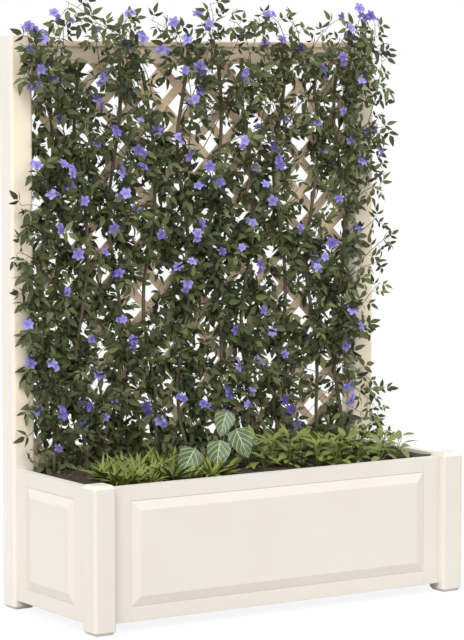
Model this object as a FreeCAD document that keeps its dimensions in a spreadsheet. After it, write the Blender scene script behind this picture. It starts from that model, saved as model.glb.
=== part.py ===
import FreeCAD
import Part
import Sketcher
import math
import os
import re

# Trough planter on four posts, with framed and panelled walls, a lattice trellis
# between the two tall rear posts, and the planting that it carries.
# Millimetres. +X runs along the planter, -Y is the front, +Z is up.
# The origin is on the floor, under the middle of the planter.

SIZES = {
    # Whole planter and its posts
    "planter_length": 1100,
    "planter_depth": 460,
    "post_size": 62,
    "front_post_height": 361,
    "rear_post_height": 1436,
    "post_arris": 9,
    "post_top_chamfer": 8,
    "post_foot_chamfer": 8,
    # Glued joints
    "groove_depth": 11,
    "tongue_thickness": 10,
    "tongue_length": 10,
    "joint_clearance": 0.3,
    "cut_overrun": 2,
    # Framed walls
    "wall_bottom": 23,
    "wall_top": 352,
    "wall_thickness": 24,
    "front_recess": 19,
    "end_recess": 10,
    "rail_height": 36,
    "stile_width": 50,
    "panel_lip": 8,
    "panel_tongue_thickness": 7,
    "panel_tongue_length": 8,
    "panel_foot_depth": 0.5,
    "panel_bevel_width": 24,
    "panel_bevel_rise": 6,
    # Slatted floor and its screws
    "cleat_width": 22,
    "cleat_height": 25,
    "board_thickness": 15,
    "board_gap": 10,
    "board_end_gap": 1,
    "screw_radius": 2,
    "screw_head_radius": 4,
    "screw_head_height": 2.4,
    "screw_bite": 12,
    "screw_hole_clearance": 0.15,
    # Liner and soil
    "liner_thickness": 3,
    "liner_clearance": 1,
    "liner_drop": 10,
    "drain_hole_radius": 6,
    "soil_drop": 20,
    # Trellis
    "trellis_drop": 20,
    "trellis_rail_thickness": 30,
    "trellis_bottom_rail_height": 44,
    "trellis_top_rail_height": 41,
    "trellis_cap_height": 16,
    "trellis_cap_thickness": 38,
    "trellis_cap_arris": 4,
    "slat_width": 22,
    "slat_thickness": 5,
    "slat_pitch": 94,
    # Climber
    "stem_radius": 4.5,
    "stem_reach": 30,
    "stem_wander": 20,
    "stem_weave": 4,
    "root_reach": 56,
    "shoot_radius": 2,
    "shoot_tip_radius": 1,
    "shoot_reach": 52,
    "shoot_reach_spread": 26,
    "shoot_drop": 50,
    "leaf_stalk": 11,
    "leaf_stalk_width": 1.6,
    "leaflet_length": 38,
    "leaflet_width": 16,
    "leaf_thickness": 0.8,
    "flower_radius": 18,
    "flower_eye_radius": 3.5,
    "flower_eye_height": 3,
    "petal_thickness": 1.2,
    "plant_clearance": 0.3,
    # Plants at the foot of the climber
    "tuft_blade_length": 92,
    "tuft_blade_width": 9,
    "tuft_spacing": 62,
    "tuft_foot_radius": 7,
    "veined_stalk_radius": 1.8,
    "veined_stalk_tip_radius": 1.1,
    "veined_stalk_height": 96,
    "veined_leaf_length": 84,
    "veined_leaf_width": 56,
    "veined_foot_radius": 16,
    "cover_leaf_length": 58,
    "cover_leaf_width": 24,
    "cover_spacing": 56,
    "cover_foot_radius": 6,
    "front_bare_strip": 46,
    "stem_bare_strip": 56,
}

# Numbers of repeated pieces
BOARD_COUNT = 8
CLEAT_SCREW_COUNT = 5
DRAIN_ROWS = 2
DRAIN_COLUMNS = 6
PETAL_COUNT = 6
STEM_RUN_COUNT = 10
TUFT_BLADE_COUNT = 9
VEINED_LEAF_COUNT = 11
COVER_LEAF_COUNT = 7
TURN_TRY_COUNT = 9
START_TRY_COUNT = 20
TWIG_POINT_COUNT = 12

# Where the climber's stems root and how high they reach, across and up the trellis
STEM_ROOT_SHARES = (-0.46, -0.36, -0.26, -0.155, -0.05, 0.05, 0.15, 0.255, 0.36, 0.45)
STEM_TOP_SHARES = (0.98, 0.95, 0.97, 0.93, 0.97, 0.95, 0.96, 0.93, 0.9, 0.98)
STEM_WAVES_SHARE = 1.7
STEM_PHASE_SHARE = 0.37
STEM_START_SHARE = 0.09
BEND_SHARE = 0.3
VOLUME_ERROR_SHARE = 0.01

# Flowers across and up the trellis, each at the tip of its own shoot
FLOWER_SHARES = (
    # Over the top rail
    (-0.45, 1.06), (-0.42, 1.04), (-0.52, 1.03), (-0.33, 1.02), (-0.23, 1.06), (-0.09, 1.04),
    (-0.02, 1.06), (0.0, 1.04), (0.1, 1.02), (0.2, 1.06), (0.43, 1.06), (0.44, 1.03),
    (0.49, 1.08), (0.51, 1.06), (0.55, 1.05), (0.46, 1.01),
    # Top quarter
    (-0.5, 1.0), (-0.52, 0.97), (-0.5, 0.93), (-0.46, 0.94), (-0.46, 0.91), (-0.5, 0.89),
    (-0.44, 0.88), (-0.3, 0.92), (-0.33, 0.91), (-0.33, 0.86), (-0.24, 0.99), (-0.21, 1.0),
    (-0.13, 0.98), (-0.07, 1.0), (-0.06, 0.93), (-0.03, 0.94), (-0.01, 0.88), (-0.05, 0.86),
    (-0.44, 0.82), (-0.27, 0.78), (-0.33, 0.76), (-0.22, 0.81), (-0.2, 0.74), (-0.15, 0.79),
    (-0.1, 0.77), (-0.05, 0.73), (0.19, 0.99), (0.22, 1.0), (0.3, 0.98), (0.13, 0.92),
    (0.1, 0.91), (0.1, 0.86), (0.37, 0.93), (0.42, 0.96), (0.51, 0.92), (0.48, 0.9),
    (0.44, 0.83), (0.16, 0.79), (0.11, 0.76), (0.22, 0.74), (0.25, 0.81), (0.36, 0.8),
    (0.38, 0.73), (0.47, 0.76), (0.54, 0.78), (0.54, 0.73),
    # Middle
    (-0.5, 0.71), (-0.43, 0.71), (-0.42, 0.69), (-0.4, 0.66), (-0.46, 0.64), (-0.38, 0.63),
    (-0.26, 0.69), (-0.21, 0.7), (-0.26, 0.64), (-0.22, 0.6), (-0.28, 0.56), (-0.44, 0.56),
    (-0.31, 0.5), (-0.38, 0.5), (-0.26, 0.45), (-0.14, 0.54), (-0.08, 0.46), (-0.06, 0.47),
    (-0.01, 0.56), (-0.04, 0.54), (-0.02, 0.65), (0.0, 0.7), (0.03, 0.66), (0.16, 0.69),
    (0.22, 0.7), (0.17, 0.65), (0.21, 0.61), (0.15, 0.56), (0.3, 0.54), (0.12, 0.5),
    (0.17, 0.46), (0.05, 0.49), (0.35, 0.46), (0.34, 0.44), (0.37, 0.47), (0.41, 0.5),
    (0.43, 0.61), (0.49, 0.54), (0.5, 0.7), (-0.42, 0.41), (-0.07, 0.42),
    # Bottom third
    (-0.53, 0.34), (-0.25, 0.34), (0.18, 0.34), (0.47, 0.33), (-0.35, 0.3), (-0.24, 0.29),
    (0.09, 0.3), (0.19, 0.29), (0.48, 0.29), (-0.52, 0.25), (-0.48, 0.25), (0.45, 0.24),
    (-0.33, 0.21), (0.1, 0.21), (0.16, 0.22), (0.25, 0.23), (-0.28, 0.15), (-0.5, 0.14),
    (-0.45, 0.13), (-0.36, 0.14), (-0.32, 0.12), (-0.39, 0.1), (-0.18, 0.13), (-0.16, 0.1),
    (-0.07, 0.14), (-0.02, 0.13), (0.07, 0.14), (0.12, 0.12), (0.15, 0.15), (0.25, 0.12),
    (0.26, 0.1), (0.47, 0.14), (0.45, 0.11), (-0.44, 0.05), (0.05, 0.1), (0.3, 0.06),
)

# Leafy tips that carry no flower, across and up the trellis
LEAFY_TIP_SHARES = (
    (-0.43, 1.09), (-0.37, 1.05), (-0.26, 1.05), (-0.18, 1.05), (0.0, 1.09), (0.06, 1.05),
    (0.15, 1.06), (0.25, 1.05), (0.52, 1.03), (-0.54, 0.99), (-0.54, 0.93), (0.56, 0.96),
    (0.56, 0.89), (0.58, 0.79), (0.56, 0.74), (0.57, 0.69), (0.55, 0.64), (-0.55, 0.62),
    (-0.54, 0.57), (-0.56, 0.51), (-0.55, 0.46), (-0.54, 0.4), (-0.53, 0.31), (0.56, 0.56),
    (0.58, 0.51), (0.57, 0.45), (0.55, 0.4), (0.53, 0.28), (0.52, 0.2), (0.56, 0.13),
    (0.57, 0.07), (0.575, 0.02), (-0.53, 0.14), (-0.53, 0.08), (-0.52, 0.04), (0.36, 0.36),
    (0.28, 0.4), (0.05, 0.36), (-0.12, 0.36), (-0.16, 0.26), (0.0, 0.26), (0.37, 0.56),
    (0.28, 0.66), (-0.13, 0.64), (0.4, 0.18), (0.34, 0.3), (0.3, 0.88), (0.08, 0.6),
)

# Places along a shoot, and along a straight run of a stem, that carry leaves
SHOOT_START_SHARES = (0.36, 0.5, 0.64)
SHOOT_SLOPE_SHARE = 0.8
SHOOT_LEAF_SHARES = (0.3, 0.53, 0.76)
TIP_LEAF_SHARES = (0.3, 0.53, 0.76, 0.97)
RUN_LEAF_SHARES = (0.43, 0.57)
# Turn from one leaf to the next round its stem, in degrees
LEAF_TURN = 137.5
LEAF_FORWARD_SHARE = 0.5
LEAF_DROOP_SHARE = 0.35
LEAF_TILT_SHARE = 0.25
LEAF_ROOM_SHARE = 0.55
REACH_TRY_SHARES = (0, 0.25, 0.5, 0.75, 1)
FLOWER_FACING_SHARES = (-0.35, -1.0, 0.1)
FLOWER_ALONG_SHARE = 0.7
PETAL_FILL_SHARE = 0.78
PETAL_BASE_SHARE = 0.8
PETAL_SHOULDER_SHARE = 0.6

# Patches of low planting along the trough, from end to end and from back to front
TUFT_PATCH_SHARES = (-0.48, -0.16)
VEINED_PLACE_SHARES = (-0.075, -0.1)
COVER_PATCH_SHARES = (0.1, 0.48)
TUFT_RISE_SHARES = (0.5, 0.75, 0.95)
COVER_RISE_SHARES = (0.35, 0.6, 0.85)
VEINED_LEAN_SHARES = (0.15, 0.5)
VEINED_DROOP_SHARE = 0.8
ROW_STAGGER_SHARES = (0.25, 0.75)
# Part of a low leaf's rib, next to its foot, that may crowd its neighbours
FREE_RIB_SHARE = 0.25

document = FreeCAD.newDocument("trellis_planter")
sheet = document.addObject("Spreadsheet::Sheet", "sizes")
for row, (alias, value) in enumerate(SIZES.items(), start=1):
    sheet.set(f"A{row}", alias)
    sheet.set(f"B{row}", str(value))
    sheet.setAlias(f"B{row}", alias)
document.recompute()

pieces = []


def formula(text):
    """An expression on the sheet's cells, written with their bare names."""
    return re.sub(r"[a-z]\w*", r"sizes.\g<0>", text)


def bind(thing, **expressions):
    for name, text in expressions.items():
        thing.setExpression(name, formula(text))


def place(thing, x, y, z):
    for axis, text in zip("xyz", (x, y, z)):
        thing.setExpression(f"Placement.Base.{axis}", formula(text))


def size(name):
    return float(sheet.get(name))


def keep(thing, name):
    """Mark a finished sub-part, whose label names its file."""
    thing.Label = name
    pieces.append(thing)
    return thing


def box(name, length, depth, height, x, y, z):
    """A block with its lowest corner at x, y, z."""
    block = document.addObject("Part::Box", name)
    bind(block, Length=length, Width=depth, Height=height)
    place(block, x, y, z)
    return block


def rod(name, radius, length, x, y, z, rotation=FreeCAD.Rotation()):
    """A cylinder from x, y, z along +Z, or along the turned +Z."""
    cylinder = document.addObject("Part::Cylinder", name)
    bind(cylinder, Radius=radius, Height=length)
    cylinder.Placement = FreeCAD.Placement(FreeCAD.Vector(), rotation)
    place(cylinder, x, y, z)
    return cylinder


def fuse(name, shapes):
    union = document.addObject("Part::MultiFuse", name)
    union.Shapes = shapes
    union.Refine = True
    return union


def cut(name, base, tools):
    difference = document.addObject("Part::Cut", name)
    difference.Base = base
    difference.Tool = tools[0] if len(tools) == 1 else fuse(f"{name}_tools", tools)
    difference.Refine = True
    return difference


ALONG_Y = FreeCAD.Rotation(FreeCAD.Vector(1, 0, 0), -90)
ALONG_MINUS_Y = FreeCAD.Rotation(FreeCAD.Vector(1, 0, 0), 90)
HALF_TURN = FreeCAD.Rotation(FreeCAD.Vector(0, 0, 1), 180)

# Expressions that several pieces share
FRONT_SPAN = "(planter_length - 2 * post_size)"
END_SPAN = "(planter_depth - 2 * post_size)"
WALL_HEIGHT = "(wall_top - wall_bottom)"
TRELLIS_TOP = "(rear_post_height - trellis_drop)"
TOP_RAIL_TOP = f"({TRELLIS_TOP} - trellis_cap_height)"
LATTICE_Y = "(planter_depth / 2 - post_size / 2)"
INNER_Y = "(planter_depth / 2 - front_recess - wall_thickness)"
INNER_X = "(planter_length / 2 - end_recess - wall_thickness)"
FLOOR_TOP = "(wall_bottom + cleat_height + board_thickness)"
BOARD_PITCH = f"({FRONT_SPAN} / {BOARD_COUNT})"
GROOVE_WIDTH = "(tongue_thickness + 2 * joint_clearance)"


# Posts

def centred_rectangle(sketch, width, depth):
    """A rectangle about the sketch's origin, one unit each way until its sizes are bound."""
    corners = [FreeCAD.Vector(x, y, 0) for x, y in ((-1, -1), (1, -1), (1, 1), (-1, 1))]
    for start, end in zip(corners, corners[1:] + corners[:1]):
        sketch.addGeometry(Part.LineSegment(start, end))
    for side in range(4):
        sketch.addConstraint(Sketcher.Constraint("Coincident", side, 2, (side + 1) % 4, 1))
    for side in (0, 2):
        sketch.addConstraint(Sketcher.Constraint("Horizontal", side))
        sketch.addConstraint(Sketcher.Constraint("Vertical", side + 1))
    sketch.addConstraint(Sketcher.Constraint("Symmetric", 0, 1, 1, 2, -1, 1))
    across = sketch.addConstraint(Sketcher.Constraint("DistanceX", 0, 1, 0, 2, 2))
    along = sketch.addConstraint(Sketcher.Constraint("DistanceY", 1, 1, 1, 2, 2))
    bind(sketch, **{f"Constraints[{across}]": width, f"Constraints[{along}]": depth})


def sketch_on_floor(body, name, x="0", y="0", z="0"):
    """A sketch flat on the body's floor plane, moved by x, y, z."""
    floor = next(item for item in body.Origin.OriginFeatures if item.Role == "XY_Plane")
    sketch = body.newObject("Sketcher::SketchObject", name)
    sketch.AttachmentSupport = (floor, "")
    sketch.MapMode = "FlatFace"
    for axis, text in zip("xyz", (x, y, z)):
        sketch.setExpression(f"AttachmentOffset.Base.{axis}", formula(text))
    return sketch


def edge_names(shape, chosen):
    return [f"Edge{number}" for number, edge in enumerate(shape.Edges, start=1) if chosen(edge)]


def is_upright(edge):
    first, last = edge.Vertexes[0].Point, edge.Vertexes[-1].Point
    return abs(first.z - last.z) > abs(first.x - last.x) + abs(first.y - last.y)


def lies_at(height):
    def chosen(edge):
        return all(math.isclose(vertex.Z, height, abs_tol=Part.Precision.confusion())
                   for vertex in edge.Vertexes)
    return chosen


def post(name, x_side, y_side, height, groove_top):
    """A square post with eased arrises, chamfered ends and a stopped groove for each wall."""
    body = document.addObject("PartDesign::Body", name)
    section = sketch_on_floor(body, f"{name}_section")
    centred_rectangle(section, "post_size", "post_size")
    pad = body.newObject("PartDesign::Pad", f"{name}_pad")
    pad.Profile = section
    bind(pad, Length=height)
    document.recompute()
    arrises = body.newObject("PartDesign::Fillet", f"{name}_arrises")
    arrises.Base = (pad, edge_names(pad.Shape, is_upright))
    bind(arrises, Radius="post_arris")
    document.recompute()
    top = body.newObject("PartDesign::Chamfer", f"{name}_top")
    top.Base = (arrises, edge_names(arrises.Shape, lies_at(arrises.Shape.BoundBox.ZMax)))
    bind(top, Size="post_top_chamfer")
    document.recompute()
    foot = body.newObject("PartDesign::Chamfer", f"{name}_foot")
    foot.Base = (top, edge_names(top.Shape, lies_at(top.Shape.BoundBox.ZMin)))
    bind(foot, Size="post_foot_chamfer")
    document.recompute()

    groove_run = "(groove_depth + cut_overrun)"
    groove_middle = f"(post_size / 2 - groove_depth + {groove_run} / 2)"
    wall_offset = "(post_size / 2 - end_recess - wall_thickness / 2)"
    grooves = (
        ("long_wall", (groove_run, GROOVE_WIDTH), (f"{-x_side} * {groove_middle}", "0"), groove_top),
        ("end_wall", (GROOVE_WIDTH, groove_run),
         (f"{x_side} * {wall_offset}", f"{-y_side} * {groove_middle}"), "wall_top"),
    )
    for wall, (width, depth), (x, y), end in grooves:
        before = body.Tip.Shape.Volume
        outline = sketch_on_floor(body, f"{name}_{wall}_outline", x, y, "wall_bottom")
        centred_rectangle(outline, width, depth)
        groove = body.newObject("PartDesign::Pocket", f"{name}_{wall}_groove")
        groove.Profile = outline
        groove.Reversed = True
        bind(groove, Length=f"{end} - wall_bottom")
        document.recompute()
        if groove.Shape.Volume >= before:
            raise ValueError(f"{name}: the {wall} groove removes nothing")
    place(body, f"{x_side} * (planter_length - post_size) / 2",
          f"{y_side} * (planter_depth - post_size) / 2", "0")
    keep(body, name)


for depth_name, y_side, post_height, groove_end in (
    ("front", -1, "front_post_height", "wall_top"),
    ("rear", 1, "rear_post_height", TOP_RAIL_TOP),
):
    for side_name, x_side in (("left", -1), ("right", 1)):
        post(f"post_{depth_name}_{side_name}", x_side, y_side, post_height, groove_end)


# Framed walls, each drawn with its outer face on y = 0 and its middle on x = 0

def panel_groove(name, length, height, x, z):
    """The slot that holds the raised panel's tongue."""
    return box(name, length, "panel_tongue_thickness + 2 * joint_clearance", height,
               x, "panel_lip - joint_clearance", z)


def wall_rail(name, span, bottom, groove_bottom, holes):
    """A rail between the stiles, with stub tenons and a slot for the panel."""
    opening = f"({span} - 2 * stile_width)"
    bar = box(f"{name}_bar", opening, "wall_thickness", "rail_height", f"-{opening} / 2", "0", bottom)
    tenon = box(f"{name}_tenon", f"{opening} + 2 * panel_tongue_length", "panel_tongue_thickness",
                "rail_height", f"-{opening} / 2 - panel_tongue_length", "panel_lip", bottom)
    slot = panel_groove(f"{name}_slot", f"{opening} + 2 * stile_width",
                        "panel_tongue_length + joint_clearance + cut_overrun",
                        f"-{opening} / 2 - stile_width", groove_bottom)
    return cut(name, fuse(f"{name}_blank", [bar, tenon]), [slot] + holes)


def wall_stile(name, span, side):
    """An upright of the frame, tongued into the post and slotted for the panel and the rails."""
    outer = f"({span} / 2)"
    inner = f"({span} / 2 - stile_width)"
    tongue_y = "(wall_thickness - tongue_thickness) / 2"
    slot_depth = "(panel_tongue_length + joint_clearance)"
    if side < 0:
        bar_x, tongue_x = f"-{outer}", f"-{outer} - tongue_length"
        slot_x = f"-{inner} - {slot_depth}"
    else:
        bar_x, tongue_x, slot_x = inner, outer, f"{inner} - cut_overrun"
    bar = box(f"{name}_bar", "stile_width", "wall_thickness", WALL_HEIGHT, bar_x, "0", "wall_bottom")
    tongue = box(f"{name}_tongue", "tongue_length", "tongue_thickness", WALL_HEIGHT,
                 tongue_x, tongue_y, "wall_bottom")
    slot = panel_groove(f"{name}_slot", f"{slot_depth} + cut_overrun", f"{WALL_HEIGHT} + 2 * cut_overrun",
                        slot_x, "wall_bottom - cut_overrun")
    return cut(name, fuse(f"{name}_blank", [bar, tongue]), [slot])


def raised_panel(name, span):
    """A panel with a field that stands proud, bevelled and mitred all round, tongued into its frame."""
    opening = f"({span} - 2 * stile_width)"
    low = "(wall_bottom + rail_height)"
    high = "(wall_top - rail_height)"
    reach = "(panel_tongue_length - joint_clearance)"
    plate = box(f"{name}_plate", f"{opening} + 2 * {reach}", "panel_tongue_thickness",
                f"{high} - {low} + 2 * {reach}",
                f"-{opening} / 2 - {reach}", "panel_lip", f"{low} - {reach}")
    edge = f"({opening} / 2 - joint_clearance)"
    block = box(f"{name}_block", f"2 * {edge}", "panel_lip - panel_foot_depth",
                f"{high} - {low} - 2 * joint_clearance",
                f"-{edge}", "panel_foot_depth", f"{low} + joint_clearance")
    field = document.addObject("Part::Wedge", f"{name}_field")
    field.Placement = FreeCAD.Placement(FreeCAD.Vector(), HALF_TURN)
    bind(field, Xmin=f"-{edge}", Xmax=edge, X2min=f"-{edge} + panel_bevel_width",
         X2max=f"{edge} - panel_bevel_width", Ymin="-panel_foot_depth",
         Ymax="panel_bevel_rise - panel_foot_depth",
         Zmin=f"{low} + joint_clearance", Zmax=f"{high} - joint_clearance",
         Z2min=f"{low} + joint_clearance + panel_bevel_width",
         Z2max=f"{high} - joint_clearance - panel_bevel_width")
    return fuse(name, [plate, block, field])


SCREW_HOLE = "screw_radius + screw_hole_clearance"
CLEAT_SCREW_Z = "(wall_bottom + cleat_height / 2)"


def cleat_screw_x(number):
    return f"({number} - {CLEAT_SCREW_COUNT - 1} / 2) * {FRONT_SPAN} / {CLEAT_SCREW_COUNT}"


def wall(name, span, turn, x, y, cleat_holes):
    """One side of the trough: two rails, two stiles and a raised panel."""
    rail_holes = []
    if cleat_holes:
        rail_holes = [
            rod(f"{name}_pilot_{number}", SCREW_HOLE, "screw_bite + cut_overrun", cleat_screw_x(number),
                "wall_thickness + cut_overrun", CLEAT_SCREW_Z, ALONG_MINUS_Y)
            for number in range(CLEAT_SCREW_COUNT)
        ]
    slot_depth = "(panel_tongue_length + joint_clearance)"
    members = {
        f"{name}_top_rail": wall_rail(f"{name}_top_rail", span, "wall_top - rail_height",
                                      "wall_top - rail_height - cut_overrun", []),
        f"{name}_bottom_rail": wall_rail(f"{name}_bottom_rail", span, "wall_bottom",
                                         f"wall_bottom + rail_height - {slot_depth}", rail_holes),
        f"{name}_left_stile": wall_stile(f"{name}_left_stile", span, -1),
        f"{name}_right_stile": wall_stile(f"{name}_right_stile", span, 1),
        f"{name}_raised_panel": raised_panel(f"{name}_raised_panel", span),
    }
    rotation = FreeCAD.Rotation(FreeCAD.Vector(0, 0, 1), turn)
    for label, member in members.items():
        member.Placement = FreeCAD.Placement(FreeCAD.Vector(), rotation)
        place(member, x, y, "0")
        keep(member, label)


wall("front", FRONT_SPAN, 0, "0", "-planter_depth / 2 + front_recess", True)
wall("rear", FRONT_SPAN, 180, "0", "planter_depth / 2 - front_recess", True)
wall("right_end", END_SPAN, 90, "planter_length / 2 - end_recess", "0", False)
wall("left_end", END_SPAN, -90, "-planter_length / 2 + end_recess", "0", False)


# Slatted floor on two cleats, which are screwed to the long walls

def board_x(number):
    """The middle of a floor board."""
    return f"({2 * number + 1} * {BOARD_PITCH} / 2 - {FRONT_SPAN} / 2)"


BOARD_SCREW_Y = f"({INNER_Y} - cleat_width / 2)"
CLEAT_LENGTH = f"({FRONT_SPAN} - 2 * board_end_gap)"


def floor_cleat(name, y_side):
    corner_y = f"-{INNER_Y}" if y_side < 0 else f"{INNER_Y} - cleat_width"
    bar = box(f"{name}_bar", CLEAT_LENGTH, "cleat_width", "cleat_height",
              f"-{CLEAT_LENGTH} / 2", corner_y, "wall_bottom")
    across = [
        rod(f"{name}_wall_hole_{number}", SCREW_HOLE, "cleat_width + 2 * cut_overrun",
            cleat_screw_x(number), f"{corner_y} - cut_overrun", CLEAT_SCREW_Z, ALONG_Y)
        for number in range(CLEAT_SCREW_COUNT)
    ]
    down = [
        rod(f"{name}_board_hole_{number}", SCREW_HOLE, "screw_bite + cut_overrun", board_x(number),
            f"{y_side} * {BOARD_SCREW_Y}", "wall_bottom + cleat_height - screw_bite")
        for number in range(BOARD_COUNT)
    ]
    keep(cut(name, bar, across + down), name)


def floor_board(number):
    name = f"floor_board_{number + 1}"
    width = f"({BOARD_PITCH} - board_gap)"
    length = f"(2 * {INNER_Y} - 2 * board_end_gap)"
    board = box(f"{name}_plank", width, length, "board_thickness", f"{board_x(number)} - {width} / 2",
                f"-{length} / 2", "wall_bottom + cleat_height")
    holes = []
    for end, y_side in (("front", -1), ("rear", 1)):
        y = f"{y_side} * {BOARD_SCREW_Y}"
        holes.append(rod(f"{name}_{end}_hole", SCREW_HOLE, "board_thickness + 2 * cut_overrun",
                         board_x(number), y, "wall_bottom + cleat_height - cut_overrun"))
        holes.append(rod(f"{name}_{end}_seat", "screw_head_radius + screw_hole_clearance",
                         "screw_head_height + cut_overrun", board_x(number), y,
                         f"{FLOOR_TOP} - screw_head_height"))
    keep(cut(name, board, holes), name)


floor_cleat("floor_cleat_front", -1)
floor_cleat("floor_cleat_rear", 1)
for board_number in range(BOARD_COUNT):
    floor_board(board_number)


# From here on the sizes are read from the sheet

front_span = size("planter_length") - 2 * size("post_size")
end_span = size("planter_depth") - 2 * size("post_size")
lattice_y = size("planter_depth") / 2 - size("post_size") / 2
inner_y = size("planter_depth") / 2 - size("front_recess") - size("wall_thickness")
inner_x = size("planter_length") / 2 - size("end_recess") - size("wall_thickness")
floor_top = size("wall_bottom") + size("cleat_height") + size("board_thickness")
trellis_foot = size("wall_top")
trellis_height = size("rear_post_height") - size("trellis_drop") - trellis_foot
soil_top = size("wall_top") - size("soil_drop")
clearance = size("plant_clearance")


def group(name, solids):
    """Separate solids of one kind as one sub-part."""
    feature = document.addObject("Part::Feature", name)
    feature.Shape = Part.makeCompound(solids)
    feature.Placement = FreeCAD.Placement()
    keep(feature, name)


def screw(tip, direction, shank):
    """A screw with its shank starting at the tip and its head at the far end."""
    axis = FreeCAD.Vector(direction)
    body = Part.makeCylinder(size("screw_radius"), shank, tip, axis)
    head = Part.makeCylinder(size("screw_head_radius"), size("screw_head_height"), tip + axis * shank, axis)
    return body.fuse(head).removeSplitter().Solids[0]


def cleat_screws():
    shank = size("screw_bite") + size("cleat_width")
    z = size("wall_bottom") + size("cleat_height") / 2
    screws = []
    for y_side in (-1, 1):
        for number in range(CLEAT_SCREW_COUNT):
            x = (number - (CLEAT_SCREW_COUNT - 1) / 2) * front_span / CLEAT_SCREW_COUNT
            tip = FreeCAD.Vector(x, y_side * (inner_y + size("screw_bite")), z)
            screws.append(screw(tip, (0, -y_side, 0), shank))
    return screws


def board_screws():
    seat = floor_top - size("screw_head_height")
    tip_z = size("wall_bottom") + size("cleat_height") - size("screw_bite")
    screws = []
    for y_side in (-1, 1):
        for number in range(BOARD_COUNT):
            x = (2 * number + 1) / 2 * front_span / BOARD_COUNT - front_span / 2
            tip = FreeCAD.Vector(x, y_side * (inner_y - size("cleat_width") / 2), tip_z)
            screws.append(screw(tip, (0, 0, 1), seat - tip_z))
    return screws


group("cleat_screws", cleat_screws())
group("board_screws", board_screws())


# Liner and soil, both notched round the posts

def notched_block(gap, bottom, top):
    """A block that fills the trough between its walls and posts, less a gap all round."""
    long_x, short_y = inner_x - gap, end_span / 2 - gap
    short_x, long_y = front_span / 2 - gap, inner_y - gap
    blocks = [
        Part.makeBox(2 * half_x, 2 * half_y, top - bottom, FreeCAD.Vector(-half_x, -half_y, bottom))
        for half_x, half_y in ((long_x, short_y), (short_x, long_y))
    ]
    return blocks[0].fuse(blocks[1]).removeSplitter()


def planter_liner():
    rim = size("wall_top") - size("liner_drop")
    wall_gap = size("liner_clearance") + size("liner_thickness")
    base = floor_top + size("liner_thickness")
    tray = notched_block(size("liner_clearance"), floor_top, rim)
    tray = tray.cut(notched_block(wall_gap, base, rim + size("cut_overrun")))
    depth = size("liner_thickness") + 2 * size("cut_overrun")
    for row in range(DRAIN_ROWS):
        y = (row - (DRAIN_ROWS - 1) / 2) * end_span / DRAIN_ROWS
        for column in range(DRAIN_COLUMNS):
            x = (column - (DRAIN_COLUMNS - 1) / 2) * front_span / DRAIN_COLUMNS
            foot = FreeCAD.Vector(x, y, floor_top - size("cut_overrun"))
            tray = tray.cut(Part.makeCylinder(size("drain_hole_radius"), depth, foot))
    return tray


soil_gap = size("liner_clearance") + size("liner_thickness") + clearance
group("planter_liner", planter_liner().Solids)
group("potting_soil", notched_block(soil_gap, floor_top + size("liner_thickness"), soil_top).Solids)


# Trellis

LATTICE_SLOT_Y = f"{LATTICE_Y} - {GROOVE_WIDTH} / 2"
RAIL_Y = f"{LATTICE_Y} - trellis_rail_thickness / 2"


def trellis_rail(name, bottom, height, slot_bottom):
    """A rail between the tall posts, tenoned into their grooves and slotted for the lattice."""
    bar = box(f"{name}_bar", FRONT_SPAN, "trellis_rail_thickness", height,
              f"-{FRONT_SPAN} / 2", RAIL_Y, bottom)
    tenon = box(f"{name}_tenon", f"{FRONT_SPAN} + 2 * tongue_length", "tongue_thickness", height,
                f"-{FRONT_SPAN} / 2 - tongue_length", f"{LATTICE_Y} - tongue_thickness / 2", bottom)
    slot = box(f"{name}_slot", f"{FRONT_SPAN} + 2 * groove_depth", GROOVE_WIDTH,
               "groove_depth + cut_overrun",
               f"-{FRONT_SPAN} / 2 - groove_depth", LATTICE_SLOT_Y, slot_bottom)
    keep(cut(name, fuse(f"{name}_blank", [bar, tenon]), [slot]), name)


trellis_rail("trellis_bottom_rail", "wall_top", "trellis_bottom_rail_height",
             "wall_top + trellis_bottom_rail_height - groove_depth")
trellis_rail("trellis_top_rail", f"{TOP_RAIL_TOP} - trellis_top_rail_height", "trellis_top_rail_height",
             f"{TOP_RAIL_TOP} - trellis_top_rail_height - cut_overrun")

cap_bar = box("trellis_cap_bar", FRONT_SPAN, "trellis_cap_thickness", "trellis_cap_height",
              f"-{FRONT_SPAN} / 2", f"{LATTICE_Y} - trellis_cap_thickness / 2", TOP_RAIL_TOP)
document.recompute()
cap = document.addObject("Part::Fillet", "trellis_cap")
cap.Base = cap_bar
cap.Edges = [
    (number, size("trellis_cap_arris"), size("trellis_cap_arris"))
    for number, edge in enumerate(cap_bar.Shape.Edges, start=1)
    if edge.BoundBox.XLength > edge.BoundBox.YLength + edge.BoundBox.ZLength
]
keep(cap, "trellis_cap")


def lattice_slats(lean, front):
    """Parallel slats at 45 degrees, trimmed to fit the grooves round the trellis opening."""
    half_width = front_span / 2 + size("tongue_length")
    slot_reach = size("tongue_length")
    foot = trellis_foot + size("trellis_bottom_rail_height") - slot_reach
    head = (trellis_foot + trellis_height - size("trellis_cap_height")
            - size("trellis_top_rail_height") + slot_reach)
    thickness = size("slat_thickness")
    window = Part.makeBox(2 * half_width, thickness, head - foot, FreeCAD.Vector(-half_width, front, foot))
    length = 2 * (2 * half_width + head - foot)
    slat = Part.makeBox(length, thickness, size("slat_width"),
                        FreeCAD.Vector(-length / 2, front, -size("slat_width") / 2))
    slat.rotate(FreeCAD.Vector(), FreeCAD.Vector(0, 1, 0), -45 * lean)
    count = math.ceil((2 * half_width + head - foot) / 2 / size("slat_pitch"))
    middle = (foot + head) / 2
    slats = []
    for number in range(-count, count + 1):
        trimmed = slat.translated(FreeCAD.Vector(number * size("slat_pitch"), 0, middle)).common(window)
        slats += [solid for solid in trimmed.Solids if solid.BoundBox.ZLength > size("slat_width")]
    return slats


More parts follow.
